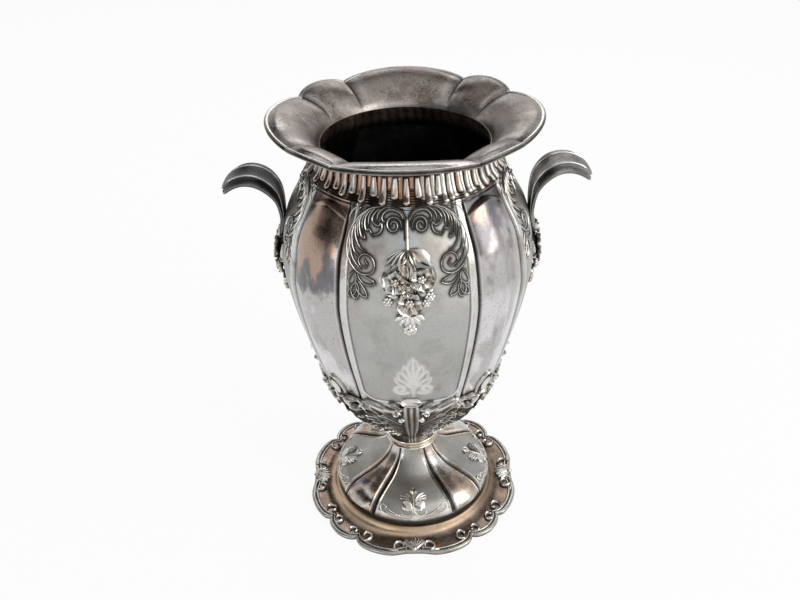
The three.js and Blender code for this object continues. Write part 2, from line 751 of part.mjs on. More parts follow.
// Cast border: a moulding round the outline, a fan shell between two scrolls on each side,
// and a scroll end at each notch. Section corners are shares of the border's width and height
const borderSection = [[0.04, 0], [0.1, 0.8], [0.5, 1], [0.75, 0.45], [1, 0.3], [1, 0]]
const shellRadius = 6
const shellRibs = 3
const shellFlute = 0.88
const scrollRadius = 2.4
const scrollTaper = 0.7
function fanShell() {
  const fan = new THREE.Shape()
  fan.moveTo(shellRadius / 2, -shellRadius / 2)
  for (const share of steps(2 * shellRibs, 0, 1)) {
    const turn = lerp(0.05, 0.95, share) * Math.PI
    const isRib = Math.round(share * 2 * shellRibs) % 2 === 1
    const radius = shellRadius * (isRib ? 1 : shellFlute)
    fan.lineTo(radius * Math.cos(turn), radius * Math.sin(turn))
  }
  fan.lineTo(-shellRadius / 2, -shellRadius / 2)
  const geometry = new THREE.ExtrudeGeometry(fan, { depth: borderHeight, bevelEnabled: false })
  geometry.translate(0, shellRadius * 0.7 - plateShellRadius, plateEdgeHeight)
  return geometry
}

function scroll(angle, radius, distance, height) {
  const geometry = new THREE.CylinderGeometry(radius * scrollTaper, radius, height, 6)
  geometry.rotateX(quarter)
  const middle = around(angle, distance, plateEdgeHeight + height / 2)
  geometry.translate(middle.x, middle.y, middle.z)
  return geometry
}

function footBorder() {
  const moulding = loft(borderSection.map(([out, up]) =>
    lobedRing(out * borderWidth, plateEdgeHeight + up * borderHeight)))
  const scrollHeight = borderHeight * 1.15
  const pieces = [moulding]
  for (let turn = 0; turn < 4; turn++) {
    const middle = turn * quarter
    pieces.push(fanShell().rotateZ(middle))
    for (const side of [-1, 1]) {
      const beside = middle + (side * shellRadius * 1.15) / plateShellRadius
      pieces.push(scroll(beside, scrollRadius, plateShellRadius - borderWidth / 2, scrollHeight))
      const notch = middle + side * plateNotch
      pieces.push(scroll(notch, scrollRadius, plateNotchRadius - scrollRadius, scrollHeight))
    }
  }
  return geometryOf(joined(pieces))
}

// Knop: a spool with a bead at each end, bored for the stud and recessed for its head
function knopRing() {
  const bore = studRadius + studRunningGap
  const recess = studHeadRadius + studRunningGap
  const recessZ = bodyBottom - studHeadHeight - seamGap
  const bead = knopHeight / 4
  return turned([
    [bore, domeTop],
    [knopWaistRadius, domeTop],
    [knopRadius, domeTop + bead / 2],
    [knopWaistRadius, domeTop + bead],
    [knopWaistRadius, bodyBottom - 1.6 * bead],
    [knopRadius, bodyBottom - bead],
    [knopRadius, bodyBottom - bead / 3],
    [knopWaistRadius, bodyBottom],
    [recess, bodyBottom],
    [recess, recessZ],
    [bore, recessZ],
  ], 24)
}

function tieStud() {
  const end = domeTop - sheetThickness - washerThickness - nutHeight - studTailLength
  return turned([
    [0, end],
    [studRadius, end],
    [studRadius, bodyBottom - studHeadHeight],
    [studHeadRadius, bodyBottom - studHeadHeight],
    [studHeadRadius, bodyBottom],
    [0, bodyBottom],
  ], 20)
}

const nutTop = domeTop - sheetThickness - washerThickness
function footWasher() {
  const bore = studRadius + studRunningGap
  return turned([
    [bore, nutTop],
    [washerRadius, nutTop],
    [washerRadius, nutTop + washerThickness],
    [bore, nutTop + washerThickness],
  ], 20)
}

function footNut() {
  const outline = new THREE.Shape()
  for (let corner = 0; corner < 6; corner++) {
    const turn = (corner * Math.PI) / 3
    const [x, y] = [(nutAcrossCorners / 2) * Math.cos(turn), (nutAcrossCorners / 2) * Math.sin(turn)]
    corner ? outline.lineTo(x, y) : outline.moveTo(x, y)
  }
  const bore = new THREE.Path()
  bore.absarc(0, 0, studRadius + seamGap, 0, 2 * Math.PI, true)
  outline.holes.push(bore)
  const depth = nutHeight
  const geometry = new THREE.ExtrudeGeometry(outline, { depth, bevelEnabled: false, curveSegments: 10 })
  geometry.translate(0, 0, nutTop - nutHeight)
  return geometry
}

place('foot_plate', footPlate(), 'gilded')
place('foot_border', footBorder(), 'cast')
place('foot_collar', footCollar(), 'dark')
place('foot_dome', footDome(), 'matted')
place('tie_stud', tieStud(), 'steel')
place('foot_washer', footWasher(), 'steel')
place('foot_nut', footNut(), 'steel')
place('knop_ring', knopRing(), 'brass')
place('body_shell', bodyShell(), 'polished')
place('neck_band', neckBand(), 'tarnished')
place('mouth_flare', mouthFlare(), 'tarnished')
place('rim_wire', rimWire(), 'polished')

const sides = ['front', 'right', 'back', 'left']
sides.forEach((side, turn) => {
  const isHandleSide = turn % 2 === 1
  place(`bouquet_${side}`, bouquet(isHandleSide ? sideBouquetDrop : 0, !isHandleSide), 'cast', turn * quarter)
  place(`calyx_leaf_${side}`, calyxLeaf(), 'cast', turn * quarter)
})
const corners = ['front_right', 'back_right', 'back_left', 'front_left']
corners.forEach((corner, turn) => place(`calyx_loop_${corner}`, calyxLoop(), 'cast', turn * quarter))
place('handle_right', handle(), 'dark')
place('handle_left', handle(), 'dark', Math.PI)

export default group
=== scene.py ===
# %% [markdown]
# This lesson dresses a two-handled silver vase. Its frame, made in CAD, holds the plain pieces at
# their real size: a lobed foot plate, a domed foot, a knop, the panelled body, a reeded neck, a mouth
# of eight petals and two handles. Here each of them gets its fine surface and its old silver finish.
# The frame is loaded first, because every size below is measured on it.

# %% Open the frame
import math
import bpy
import numpy as np
from mathutils import Matrix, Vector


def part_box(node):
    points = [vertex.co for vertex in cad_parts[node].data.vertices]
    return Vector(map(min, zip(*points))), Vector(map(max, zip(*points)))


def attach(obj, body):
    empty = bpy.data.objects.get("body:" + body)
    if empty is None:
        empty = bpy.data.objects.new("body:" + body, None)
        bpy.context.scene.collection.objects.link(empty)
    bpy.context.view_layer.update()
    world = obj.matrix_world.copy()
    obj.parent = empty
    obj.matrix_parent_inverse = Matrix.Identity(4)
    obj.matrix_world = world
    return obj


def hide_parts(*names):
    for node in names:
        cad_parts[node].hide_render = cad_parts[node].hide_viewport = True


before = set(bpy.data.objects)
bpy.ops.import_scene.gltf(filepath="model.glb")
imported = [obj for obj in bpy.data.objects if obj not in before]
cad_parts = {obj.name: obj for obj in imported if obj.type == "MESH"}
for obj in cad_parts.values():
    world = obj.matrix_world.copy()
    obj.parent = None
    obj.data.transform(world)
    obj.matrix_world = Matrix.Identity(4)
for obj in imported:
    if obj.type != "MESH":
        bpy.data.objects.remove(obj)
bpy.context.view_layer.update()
MM = 0.001

# %% [markdown]
# The camera comes next, because the picture is what every piece is compared with. A photograph's lens
# and place can be worked out from circles of known proportion, here the lobed mouth and foot. The
# camera stands about half a metre away and half a metre up, looks down by a third of a right angle
# and is rolled by a degree or two, as a hand-held one is.

# %% The camera
PICTURE_WIDTH = 800
focal_pixels = 857.7
camera_place = np.array([0.3, -482.1, 488.1]) * MM
camera_pitch = 0.588
camera_pan = -0.013
camera_roll = -0.030


def camera_axes(pan, pitch, roll):
    """Forward is turned by the pan and dipped by the pitch; right and up are then rolled about it."""
    forward = np.array([math.sin(pan) * math.cos(pitch), math.cos(pan) * math.cos(pitch), -math.sin(pitch)])
    right = np.array([math.cos(pan), -math.sin(pan), 0.0])
    up = np.cross(right, forward)
    rolled_right = right * math.cos(roll) + up * math.sin(roll)
    rolled_up = up * math.cos(roll) - right * math.sin(roll)
    return rolled_right, rolled_up, -forward


camera_data = bpy.data.cameras.new("camera")
camera_data.sensor_width = 36
camera_data.lens = focal_pixels / PICTURE_WIDTH * camera_data.sensor_width
camera = bpy.data.objects.new("camera", camera_data)
turned_axes = np.eye(4)
turned_axes[:3, :3] = np.column_stack(camera_axes(camera_pan, camera_pitch, camera_roll))
turned_axes[:3, 3] = camera_place
camera.matrix_world = Matrix(turned_axes.tolist())
bpy.context.collection.objects.link(camera)
bpy.context.scene.camera = camera
bpy.context.scene.view_settings.view_transform = "Standard"
print("lens in mm:", round(camera_data.lens, 2))

# %% [markdown]
# Polished metal shows its surroundings, so a silver vase is lit by what it reflects. The white floor
# and the white room are what the camera and the reflections see. Two large soft lamps make the broad
# white highlights, and dark cards, which the camera doesn't see, stand where a photographer would put
# them: over the vase and at its left, so that its forms have dark sides.

# %% The room, the floor, the lamps and the cards


def new_nodes(tree):
    """Clears a node tree and returns a short way to add a node with its sockets set by name or number."""
    tree.nodes.clear()

    def add(kind, settings=None, **sockets):
        node = tree.nodes.new(kind)
        for name, value in (settings or {}).items():
            setattr(node, name, value)
        for name, value in sockets.items():
            place = int(name[1:]) if name[1:].isdigit() else name.replace("_", " ")
            if isinstance(value, bpy.types.NodeSocket):
                tree.links.new(value, node.inputs[place])
            else:
                node.inputs[place].default_value = value
        return node

    return add


def seen_by_eye_or_mirror(add):
    """1 for a ray from the camera, a reflection or a refraction, 0 for the light that falls on things."""
    path = add("ShaderNodeLightPath")
    either = add("ShaderNodeMath", {"operation": "MAXIMUM"},
                 _0=path.outputs["Is Camera Ray"], _1=path.outputs["Is Glossy Ray"])
    return add("ShaderNodeMath", {"operation": "MAXIMUM"},
               _0=either.outputs[0], _1=path.outputs["Is Transmission Ray"]).outputs[0]


world = bpy.data.worlds.new("white_room")
world.use_nodes = True
bpy.context.scene.world = world
add = new_nodes(world.node_tree)
seen = seen_by_eye_or_mirror(add)
room_light = add("ShaderNodeBackground", Color=(0.9, 0.92, 0.95, 1), Strength=0.6)
room_seen = add("ShaderNodeBackground", Color=(0.965, 0.965, 0.965, 1), Strength=1.0)
both = add("ShaderNodeMixShader", _0=seen, _1=room_light.outputs[0], _2=room_seen.outputs[0])
add("ShaderNodeOutputWorld", Surface=both.outputs[0])

floor_material = bpy.data.materials.new("white_floor")
floor_material.use_nodes = True
add = new_nodes(floor_material.node_tree)
seen = seen_by_eye_or_mirror(add)
floor_lift = 0.93
lift = add("ShaderNodeMath", {"operation": "MULTIPLY"}, _0=seen, _1=floor_lift)
floor_paint = add("ShaderNodeBsdfDiffuse", Color=(0.9, 0.9, 0.9, 1))
floor_glow = add("ShaderNodeEmission", Color=(0.996, 0.996, 0.996, 1), Strength=1.0)
both = add("ShaderNodeMixShader", _0=lift.outputs[0], _1=floor_paint.outputs[0], _2=floor_glow.outputs[0])
add("ShaderNodeOutputMaterial", Surface=both.outputs[0])


def flat_card(name, middle, width, height, faces, material):
    """A flat card of a width and height in metres: its middle, and the point that it faces."""
    middle = np.array(middle)
    towards = np.array(faces) - middle
    towards /= np.linalg.norm(towards)
    side = np.cross([0.0, 0.0, 1.0], towards)
    side = side / np.linalg.norm(side) if np.linalg.norm(side) > 1e-6 else np.array([1.0, 0.0, 0.0])
    up = np.cross(towards, side)
    corners = [middle + side * sx * width / 2 + up * sy * height / 2 for sx, sy in
               ((-1, -1), (1, -1), (1, 1), (-1, 1))]
    mesh = bpy.data.meshes.new(name)
    mesh.from_pydata([tuple(c) for c in corners], [], [(0, 1, 2, 3)])
    mesh.materials.append(material)
    card = bpy.data.objects.new(name, mesh)
    bpy.context.collection.objects.link(card)
    return card


vase_middle = (0, 0, 0.15)
floor = flat_card("floor", (0, 0, -0.0002), 30, 30, (0, 0, 1), floor_material)

card_material = bpy.data.materials.new("dark_card")
card_material.use_nodes = True
add = new_nodes(card_material.node_tree)
card_paint = add("ShaderNodeBsdfDiffuse", Color=(0.02, 0.02, 0.02, 1))
add("ShaderNodeOutputMaterial", Surface=card_paint.outputs[0])
dark_cards = {
    "card_left": ((-1.15, -0.35, 0.95), 1.5, 1.1),
    "card_back": ((0.0, 1.25, 1.55), 2.6, 1.2),
    "card_front": ((-0.75, -1.4, 1.15), 1.0, 0.9),
}
for name, (middle, width, height) in dark_cards.items():
    card = flat_card(name, middle, width, height, vase_middle, card_material)
    card.visible_camera = False
    card.visible_diffuse = False
    card.visible_shadow = False


def soft_lamp(name, middle, width, height, brightness, colour=(1, 1, 1)):
    """A rectangular lamp that faces the vase. Its power is brightness times its area times pi."""
    data = bpy.data.lights.new(name, "AREA")
    data.shape = "RECTANGLE"
    data.size = width
    data.size_y = height
    data.energy = brightness * width * height * math.pi
    data.color = colour
    lamp = bpy.data.objects.new(name, data)
    lamp.location = middle
    aim = Matrix.Translation(middle).inverted() @ Matrix.Translation(vase_middle)
    lamp.rotation_euler = aim.translation.to_track_quat("-Z", "Y").to_euler()
    bpy.context.collection.objects.link(lamp)
    return lamp


soft_lamp("lamp_right", (1.0, -0.55, 0.8), 0.75, 1.3, 3.0, (1.0, 0.98, 0.95))
soft_lamp("lamp_left", (-0.75, -1.0, 0.35), 0.35, 0.5, 2.2, (0.94, 0.97, 1.0))
soft_lamp("lamp_back", (0.15, 1.0, 0.95), 0.9, 0.4, 2.4)
print("stage pieces:", 1 + len(dark_cards), "lamps: 3")

# %% [markdown]
# Every piece of the vase is a surface worked out by a formula. The helper below takes rows of points,
# each row a closed loop, and skins them: that one form makes a tube, a leaf, a petal or a shell with
# a wall. Beside its place each point carries inks, numbers from 0 to 1 that its finish reads: how
# much patina and painted shade it holds, in recesses, under parts and inside the vase, how matted it
# is, and how much it is worn bright or carries a painted highlight.

# %% Skins from rows of points
# The first ink is patina and painted shade, and the last is wear and painted highlight.
INKS = ("recess", "matte", "worn")


def loft(rings, runs_into_itself=False, uv=None, **inks):
    """Quads join each loop to the next. The last loop runs into the first, or both ends get a cap.
    The volume inside, a sum of triple products, says whether the faces point out."""
    rings = np.asarray(rings, float)
    rows, per_ring = rings.shape[:2]
    joined_rows = rows if runs_into_itself else rows - 1
    row, column = np.meshgrid(np.arange(joined_rows), np.arange(per_ring), indexing="ij")
    here, after = row * per_ring, (row + 1) % rows * per_ring
    beside = (column + 1) % per_ring
    quads = np.stack([here + column, here + beside, after + beside, after + column], -1).reshape(-1, 4)
    one_ring = np.arange(per_ring)
    caps = [] if runs_into_itself else [one_ring[::-1], one_ring + (rows - 1) * per_ring]
    points = rings.reshape(-1, 3)
    a, b, c, d = (points[quads[:, i]] for i in range(4))
    volume = np.einsum("ij,ij->", a, np.cross(b, c)) + np.einsum("ij,ij->", a, np.cross(c, d))
    for cap in caps:
        first, rest = points[cap[0]], points[cap]
        volume += np.einsum("j,ij->", first, np.cross(rest[1:-1], rest[2:]))
    if volume < 0:
        quads = quads[:, ::-1]
        caps = [cap[::-1] for cap in caps]
    inked = {ink: np.broadcast_to(inks.get(ink, 0.0), (rows, per_ring)).reshape(-1) for ink in INKS}
    if uv is None:
        uv = np.zeros((rows, per_ring, 2))
    return {"points": points, "quads": quads, "caps": caps, "inks": inked, "uv": uv.reshape(-1, 2)}


def two_sided(outer, inner, inks, inner_inks, outer_uv=None, **more):
    """A sheet as one skin: the rows of its outer side, then those of its inner side on the way back. Each
    side has its own inks, and only the outer one has places for the hatching."""
    rings = np.concatenate([outer, inner]).transpose(1, 0, 2)
    for ink in INKS:
        sides = [np.broadcast_to(inks.get(ink, 0.0), outer.shape[:2]),
                 np.broadcast_to(inner_inks.get(ink, 0.0), inner.shape[:2])]
        more[ink] = np.concatenate(sides).T
    if outer_uv is not None:
        uv = np.concatenate([outer_uv, np.zeros(inner.shape[:2] + (2,))])
        more["uv"] = uv.transpose(1, 0, 2)
    return loft(rings, **more)


def spun(skin, angle):
    """The same skin turned about the vase's axis."""
    c, s = math.cos(angle), math.sin(angle)
    turn = np.array([[c, -s, 0], [s, c, 0], [0, 0, 1]])
    return {**skin, "points": skin["points"] @ turn.T}


def turned_all(skins, quarters):
    """The same skins turned by a number of quarter turns."""
    return [spun(skin, quarters * math.pi / 2) for skin in skins]


def piece(name, skins, material, nodes, sharp=55):
    """One object of all the skins, in millimetres until here. It rides on the vase and replaces CAD nodes."""
    offsets = np.cumsum([0] + [len(skin["points"]) for skin in skins])
    quads = np.concatenate([skin["quads"] + start for skin, start in zip(skins, offsets)])
    caps = [cap + start for skin, start in zip(skins, offsets) for cap in skin["caps"]]
    loops = np.concatenate([quads.reshape(-1)] + caps)
    sizes = np.array([4] * len(quads) + [len(cap) for cap in caps])
    starts = np.cumsum(sizes) - sizes
    points = np.concatenate([skin["points"] for skin in skins])
    mesh = bpy.data.meshes.new(name)
    mesh.vertices.add(len(points))
    mesh.vertices.foreach_set("co", (points * MM).astype(np.float32).reshape(-1))
    mesh.loops.add(len(loops))
    mesh.loops.foreach_set("vertex_index", loops.astype(np.int32))
    mesh.polygons.add(len(starts))
    mesh.polygons.foreach_set("loop_start", starts.astype(np.int32))
    mesh.update(calc_edges=True)
    mesh.validate()
    for ink in INKS:
        values = np.concatenate([skin["inks"][ink] for skin in skins]).astype(np.float32)
        mesh.attributes.new(ink, "FLOAT", "POINT").data.foreach_set("value", values)
    uv = np.concatenate([skin["uv"] for skin in skins])
    mesh.uv_layers.new(name="UVMap").data.foreach_set("uv", uv[loops].astype(np.float32).reshape(-1))
    mesh.polygons.foreach_set("use_smooth", np.ones(len(starts), bool))
    mesh.set_sharp_from_angle(angle=math.radians(sharp))
    mesh.materials.append(material)
    made = bpy.data.objects.new(name, mesh)
    bpy.context.collection.objects.link(made)
    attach(made, "root")
    if nodes:
        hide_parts(*nodes)
    triangles = 2 * len(quads) + sum(len(cap) - 2 for cap in caps)
    piece_counts.append(triangles)
    print(f"{name}: {triangles} triangles")
    return made


piece_counts = []

# %% [markdown]
# Old silver isn't one colour. Sulphur in the air turns it straw, then brown, violet and blue, the
# hollows keep a nearly black patina, and hands and cloths polish the edges white again. One function
# makes every finish: broad clouds choose between the clean metal and the tarnishes, fine specks,
# painted glints and streaks break them up, and the inks darken recesses with patina and painted shade,
# dull matted ground and brighten worn edges and painted highlights. The tarnish clouds are lifted high
# up the vase and towards its left, so the metal is darker there.

# %% One recipe for all the silver finishes
# The near-black colour is patina in hollows and painted shade, and the pale one is wear and painted
# highlight.
black_patina_and_shade = (0.012, 0.010, 0.009)
patina_and_shade_share = 0.92
wear_and_highlight_colour = (0.80, 0.78, 0.75)
wear_and_highlight_share = 0.8
speck_black = tuple(part * 0.35 for part in black_patina_and_shade)
painted_glint_colour = (0.62, 0.59, 0.56)
streak_brown = (0.10, 0.075, 0.06)
hatch_shadow = (0.10, 0.095, 0.09)
hatch_shadow_share = 0.36
hatch_pitch = 0.85
hatch_turns = 2 * math.pi / hatch_pitch / math.sqrt(2)
bump_depth = 0.0004
high_left_heights = (198 * MM, 252 * MM)
high_left_sideways = (45 * MM, -55 * MM)
middle_high_left = 0.45


def mixed(add, factor, first, second):
    """One colour laid over another, each a socket or three numbers."""
    node = add("ShaderNodeMix", {"data_type": "RGBA"}, Factor=factor)
    for place, value in ((6, first), (7, second)):
        if isinstance(value, bpy.types.NodeSocket):
            node.id_data.links.new(value, node.inputs[place])
        else:
            node.inputs[place].default_value = (*value, 1)
    return node.outputs[2]


def sums_of(add):
    """Short names for a shader's sums. Each takes sockets or numbers, and clamp keeps it from 0 to 1."""

    def named(operation):
        def apply(first, second=0.0, third=0.0, clamp=False):
            settings = {"operation": operation, "use_clamp": clamp}
            return add("ShaderNodeMath", settings, _0=first, _1=second, _2=third).outputs[0]
        return apply

    return [named(operation) for operation in ("MULTIPLY", "ADD", "SUBTRACT", "MULTIPLY_ADD", "SINE")]


def band(add, value, low, high, top=1.0):
    """A value stretched so that low becomes 0 and high becomes the top, softly and never outside them."""
    node = add("ShaderNodeMapRange", {"interpolation_type": "SMOOTHSTEP"}, Value=value)
    node.inputs["From Min"].default_value = low
    node.inputs["From Max"].default_value = high
    node.inputs["To Max"].default_value = top
    return node.outputs[0]


def clouds(add, coordinates, size_mm, shift=(0, 0, 0), detail=5, roughness=0.6, stretch=(1, 1, 1)):
    """Noise whose blotches are about size_mm across, moved by a shift and squeezed by a stretch."""
    mapping = add("ShaderNodeMapping", Vector=coordinates, Location=shift, Scale=stretch)
    noise = add("ShaderNodeTexNoise", Vector=mapping.outputs[0], Scale=1 / (size_mm * MM),
                Detail=detail, Roughness=roughness)
    return noise.outputs["Fac"]


def high_left_share(add, place):
    """A share that grows high up the vase and towards its left, where the tarnish clouds are lifted and the
    metal is darker.
    """
    times, plus, _, times_plus, _ = sums_of(add)
    axes = add("ShaderNodeSeparateXYZ", Vector=place)
    high = band(add, axes.outputs["Z"], *high_left_heights)
    left = band(add, axes.outputs["X"], *high_left_sideways, 0.5)
    return times_plus(left, 0.3, times(high, plus(left, 0.5)))


def silver(name, clean, tarnishes, roughness, cloud_size=26, cloud_height=1.0, cloud_roughness=0.62,
           high_left_lift=0.0, speck=0.35, glints=0.0, streaks=0.2, inked=(0.30, 0.295, 0.28), inked_share=0.42,
           hatch=0.0, bump=0.12):
    """tarnishes are (colour, from, to, shift): each covers the clean metal where its clouds pass from..to.
    High up the vase and towards its left the clouds are lifted by a share, so the metal is darker there, and
    elsewhere they sink.
    The matte ink lays the inked colour on, which is dull ground here, copper or gold there."""
    material = bpy.data.materials.new(name)
    material.use_nodes = True
    add = new_nodes(material.node_tree)
    times, plus, minus, times_plus, sine = sums_of(add)
    place = add("ShaderNodeTexCoord").outputs["Object"]
    recess, matte, worn = (add("ShaderNodeAttribute", {"attribute_name": ink}).outputs["Fac"] for ink in INKS)
    high_left = high_left_share(add, place)
    colour = clean
    for tint, start, end, shift in tarnishes:
        cloud = clouds(add, place, cloud_size, (shift, shift * 0.7, -shift), detail=6,
                       roughness=cloud_roughness, stretch=(1, 1, 1 / cloud_height))
        cloud = times_plus(high_left, high_left_lift, cloud)
        covered = band(add, cloud, start + middle_high_left * high_left_lift, end + middle_high_left * high_left_lift)
        colour = mixed(add, covered, colour, tint)
    specks = clouds(add, place, 1.6, (0.3, 0.1, 0.2), detail=3, roughness=0.7)
    patches = clouds(add, place, 14, (0.7, 0.2, 0.9), detail=3)
    speckled = times(band(add, specks, 0.52, 0.70, speck), band(add, patches, 0.40, 0.62))
    colour = mixed(add, speckled, colour, speck_black)
    # Fine light specks are painted glints.
    if glints:
        glint_noise = clouds(add, place, 1.1, (0.4, 0.8, 0.1), detail=3, roughness=0.75)
        colour = mixed(add, band(add, glint_noise, 0.56, 0.70, glints), colour, painted_glint_colour)
    strokes = clouds(add, place, 9, (0.1, 0.5, 0.4), detail=4, stretch=(1, 1, 0.12))
    colour = mixed(add, band(add, strokes, 0.50, 0.72, streaks), colour, streak_brown)
    colour = mixed(add, times(matte, inked_share), colour, inked)
    # Recesses and shaded places are darkened as patina and painted shade, and worn edges are brightened as
    # wear and painted highlight.
    broken_edge = times_plus(specks, 0.35, times(recess, 1.12))
    dark = times(minus(broken_edge, 0.17, clamp=True), patina_and_shade_share, clamp=True)
    colour = mixed(add, dark, colour, black_patina_and_shade)
    colour = mixed(add, times(worn, wear_and_highlight_share), colour, wear_and_highlight_colour)

    uneven = band(add, clouds(add, place, 18, (0.9, 0.4, 0.6), detail=6), 0.3, 0.7, 0.16)
    rough = plus(uneven, roughness)
    rough = times_plus(matte, 0.16, rough)
    rough = times_plus(recess, 0.22, rough)
    rough = times_plus(worn, -0.1, rough, clamp=True)

    grain = clouds(add, place, 0.9, (0.2, 0.2, 0.2), detail=4, roughness=0.65)
    dents = clouds(add, place, 11, (0.5, 0.5, 0.1), detail=2)
    height = times_plus(dents, 3.0, grain)
    if hatch:
        flat = add("ShaderNodeSeparateXYZ", Vector=add("ShaderNodeUVMap", {"uv_map": "UVMap"}).outputs[0])
        sideways, upwards = flat.outputs[0], flat.outputs[1]
        rising = sine(times(plus(sideways, upwards), hatch_turns))
        falling = sine(times(minus(sideways, upwards), hatch_turns))
        lines = plus(rising, times(falling, 0.6))
        height = times_plus(times(lines, matte), hatch, height)
        between = times(times(band(add, lines, 1.2, -1.2), matte), hatch_shadow_share)
        colour = mixed(add, between, colour, hatch_shadow)
    bumps = add("ShaderNodeBump", Height=height, Strength=bump, Distance=bump_depth)
    metal = add("ShaderNodeBsdfPrincipled", Metallic=1.0, Roughness=rough, Normal=bumps.outputs[0])
    material.node_tree.links.new(colour, metal.inputs["Base Color"])
    add("ShaderNodeOutputMaterial", Surface=metal.outputs[0])
    return material


brown = (0.25, 0.175, 0.135)
umber = (0.12, 0.088, 0.075)
violet = (0.27, 0.235, 0.28)
copper = (0.44, 0.23, 0.13)

panel_silver = silver("panel_silver", (0.66, 0.655, 0.64), [
    ((0.50, 0.495, 0.44), 0.44, 0.64, 0.0), ((0.60, 0.65, 0.68), 0.52, 0.66, 1.7),
    ((0.62, 0.49, 0.46), 0.57, 0.70, 3.1), ((0.36, 0.28, 0.25), 0.55, 0.72, 5.9)],
    0.24, hatch=0.8, streaks=0.10, speck=0.2, bump=0.22, inked=(0.46, 0.46, 0.43), high_left_lift=0.10)
polished_silver = silver("polished_silver", (0.70, 0.68, 0.69), [
    ((0.50, 0.48, 0.48), 0.27, 0.38, 0.0), ((0.30, 0.27, 0.28), 0.47, 0.60, 2.3),
    ((0.18, 0.175, 0.185), 0.52, 0.61, 0.0), ((0.42, 0.305, 0.245), 0.64, 0.74, 0.0),
    (umber, 0.84, 0.98, 1.1), ((0.50, 0.33, 0.25), 0.86, 0.96, 5.3)],
    0.15, cloud_size=20, streaks=0.35, bump=0.10, high_left_lift=0.5, cloud_roughness=0.50, cloud_height=1.9)
tarnished_silver = silver("tarnished_silver", (0.235, 0.208, 0.19), [
    ((0.15, 0.12, 0.105), 0.44, 0.64, 0.4), ((0.24, 0.165, 0.135), 0.54, 0.70, 2.9),
    ((0.33, 0.315, 0.30), 0.56, 0.70, 4.4)], 0.25, cloud_size=18, speck=0.9, bump=0.25, glints=0.5)
reeded_silver = silver("reeded_silver", (0.55, 0.53, 0.48), [
    (copper, 0.56, 0.66, 0.7), (brown, 0.50, 0.66, 2.2)], 0.22, cloud_size=14, speck=0.3,
    inked=(0.50, 0.28, 0.17), inked_share=0.85, high_left_lift=0.2)
cast_silver = silver("cast_silver", (0.56, 0.54, 0.505), [
    ((0.40, 0.34, 0.27), 0.50, 0.64, 0.2), (umber, 0.60, 0.72, 1.2)], 0.20, cloud_size=12, speck=0.3)
dark_silver = silver("dark_silver", (0.30, 0.295, 0.29), [
    ((0.105, 0.095, 0.088), 0.40, 0.60, 0.5), ((0.055, 0.055, 0.058), 0.56, 0.72, 2.0)],
    0.26, cloud_size=16, speck=0.3, high_left_lift=0.5)
domed_silver = silver("domed_silver", (0.62, 0.60, 0.58), [
    ((0.42, 0.32, 0.25), 0.42, 0.60, 0.1), (brown, 0.54, 0.68, 3.3), (violet, 0.58, 0.68, 2.6)],
    0.18, cloud_size=20, hatch=0.6, speck=0.35, bump=0.2, inked=(0.39, 0.385, 0.365), inked_share=0.8)
plate_gilt = silver("plate_gilt", (0.33, 0.25, 0.20), [
    ((0.19, 0.135, 0.11), 0.44, 0.62, 0.3), ((0.22, 0.175, 0.185), 0.56, 0.68, 2.4),
    ((0.42, 0.25, 0.15), 0.54, 0.66, 4.8)], 0.15, cloud_size=16, speck=0.4,
    inked=(0.74, 0.56, 0.38), inked_share=0.75)
knop_brass = silver("knop_brass", (0.72, 0.63, 0.49), [
    ((0.40, 0.32, 0.24), 0.46, 0.62, 0.9)], 0.16, cloud_size=8, speck=0.4)
edge_silver = silver("edge_silver", (0.40, 0.375, 0.355), [
    (brown, 0.50, 0.66, 0.6), ((0.22, 0.20, 0.185), 0.50, 0.62, 1.9)], 0.18, cloud_size=12, speck=0.3)
plain_steel = silver("plain_steel", (0.42, 0.42, 0.43), [
    ((0.28, 0.22, 0.17), 0.52, 0.68, 0.9)], 0.3, cloud_size=8, speck=0.5)
print("finishes:", len(bpy.data.materials))

# %% [markdown]
# The body is an urn: its outline swells from a narrow foot to a full belly and draws in at the
# shoulder. Four wide matted panels stand between four narrow polished lobes, and each border is a
# raised strip beside a deep groove. The outline is one smooth curve through a few measured points,
# and the panels are a relief on it that depends on the angle only, so each is one formula.

# %% The body's outline and the frame that ornament is set in
quarter = math.pi / 2
eighth = math.pi / 4


def smooth_curve(points):
    """A cubic between neighbours. Its slope at each point is that from the point before to the one after."""
    xs, ys = np.array(points, float).T
    before = np.maximum(np.arange(len(xs)) - 1, 0)
    after = np.minimum(np.arange(len(xs)) + 1, len(xs) - 1)
    slopes = (ys[after] - ys[before]) / (xs[after] - xs[before])

    def value(x):
        x = np.asarray(x, float)
        i = np.clip(np.searchsorted(xs, x, side="right") - 1, 0, len(xs) - 2)
        span = xs[i + 1] - xs[i]
        t = np.clip((x - xs[i]) / span, 0, 1)
        start = (1 + 2 * t) * (1 - t) ** 2 * ys[i] + t * (1 - t) ** 2 * span * slopes[i]
        return start + t * t * (3 - 2 * t) * ys[i + 1] + t * t * (t - 1) * span * slopes[i + 1]
    return value


def smooth_step(x, low, high):
    """0 below low, 1 above high, and a soft rise between; low may be the larger one."""
    t = np.clip((np.asarray(x, float) - low) / (high - low), 0, 1)
    return t * t * (3 - 2 * t)


def lerp(a, b, t):
    """From a where t is 0 to b where t is 1, evenly."""
    return a + (b - a) * t


def bump_at(x, middle, half_width):
    """A round bump of height 1, which dies out about two half widths from its middle."""
    return np.exp(-((np.asarray(x, float) - middle) / half_width) ** 2)


def arrays(*values):
    """Numbers and arrays as decimal arrays of one shape."""
    return np.broadcast_arrays(*(np.asarray(value, float) for value in values))


def unit(vectors):
    """The same directions at length 1."""
    return vectors / np.linalg.norm(vectors, axis=-1, keepdims=True)


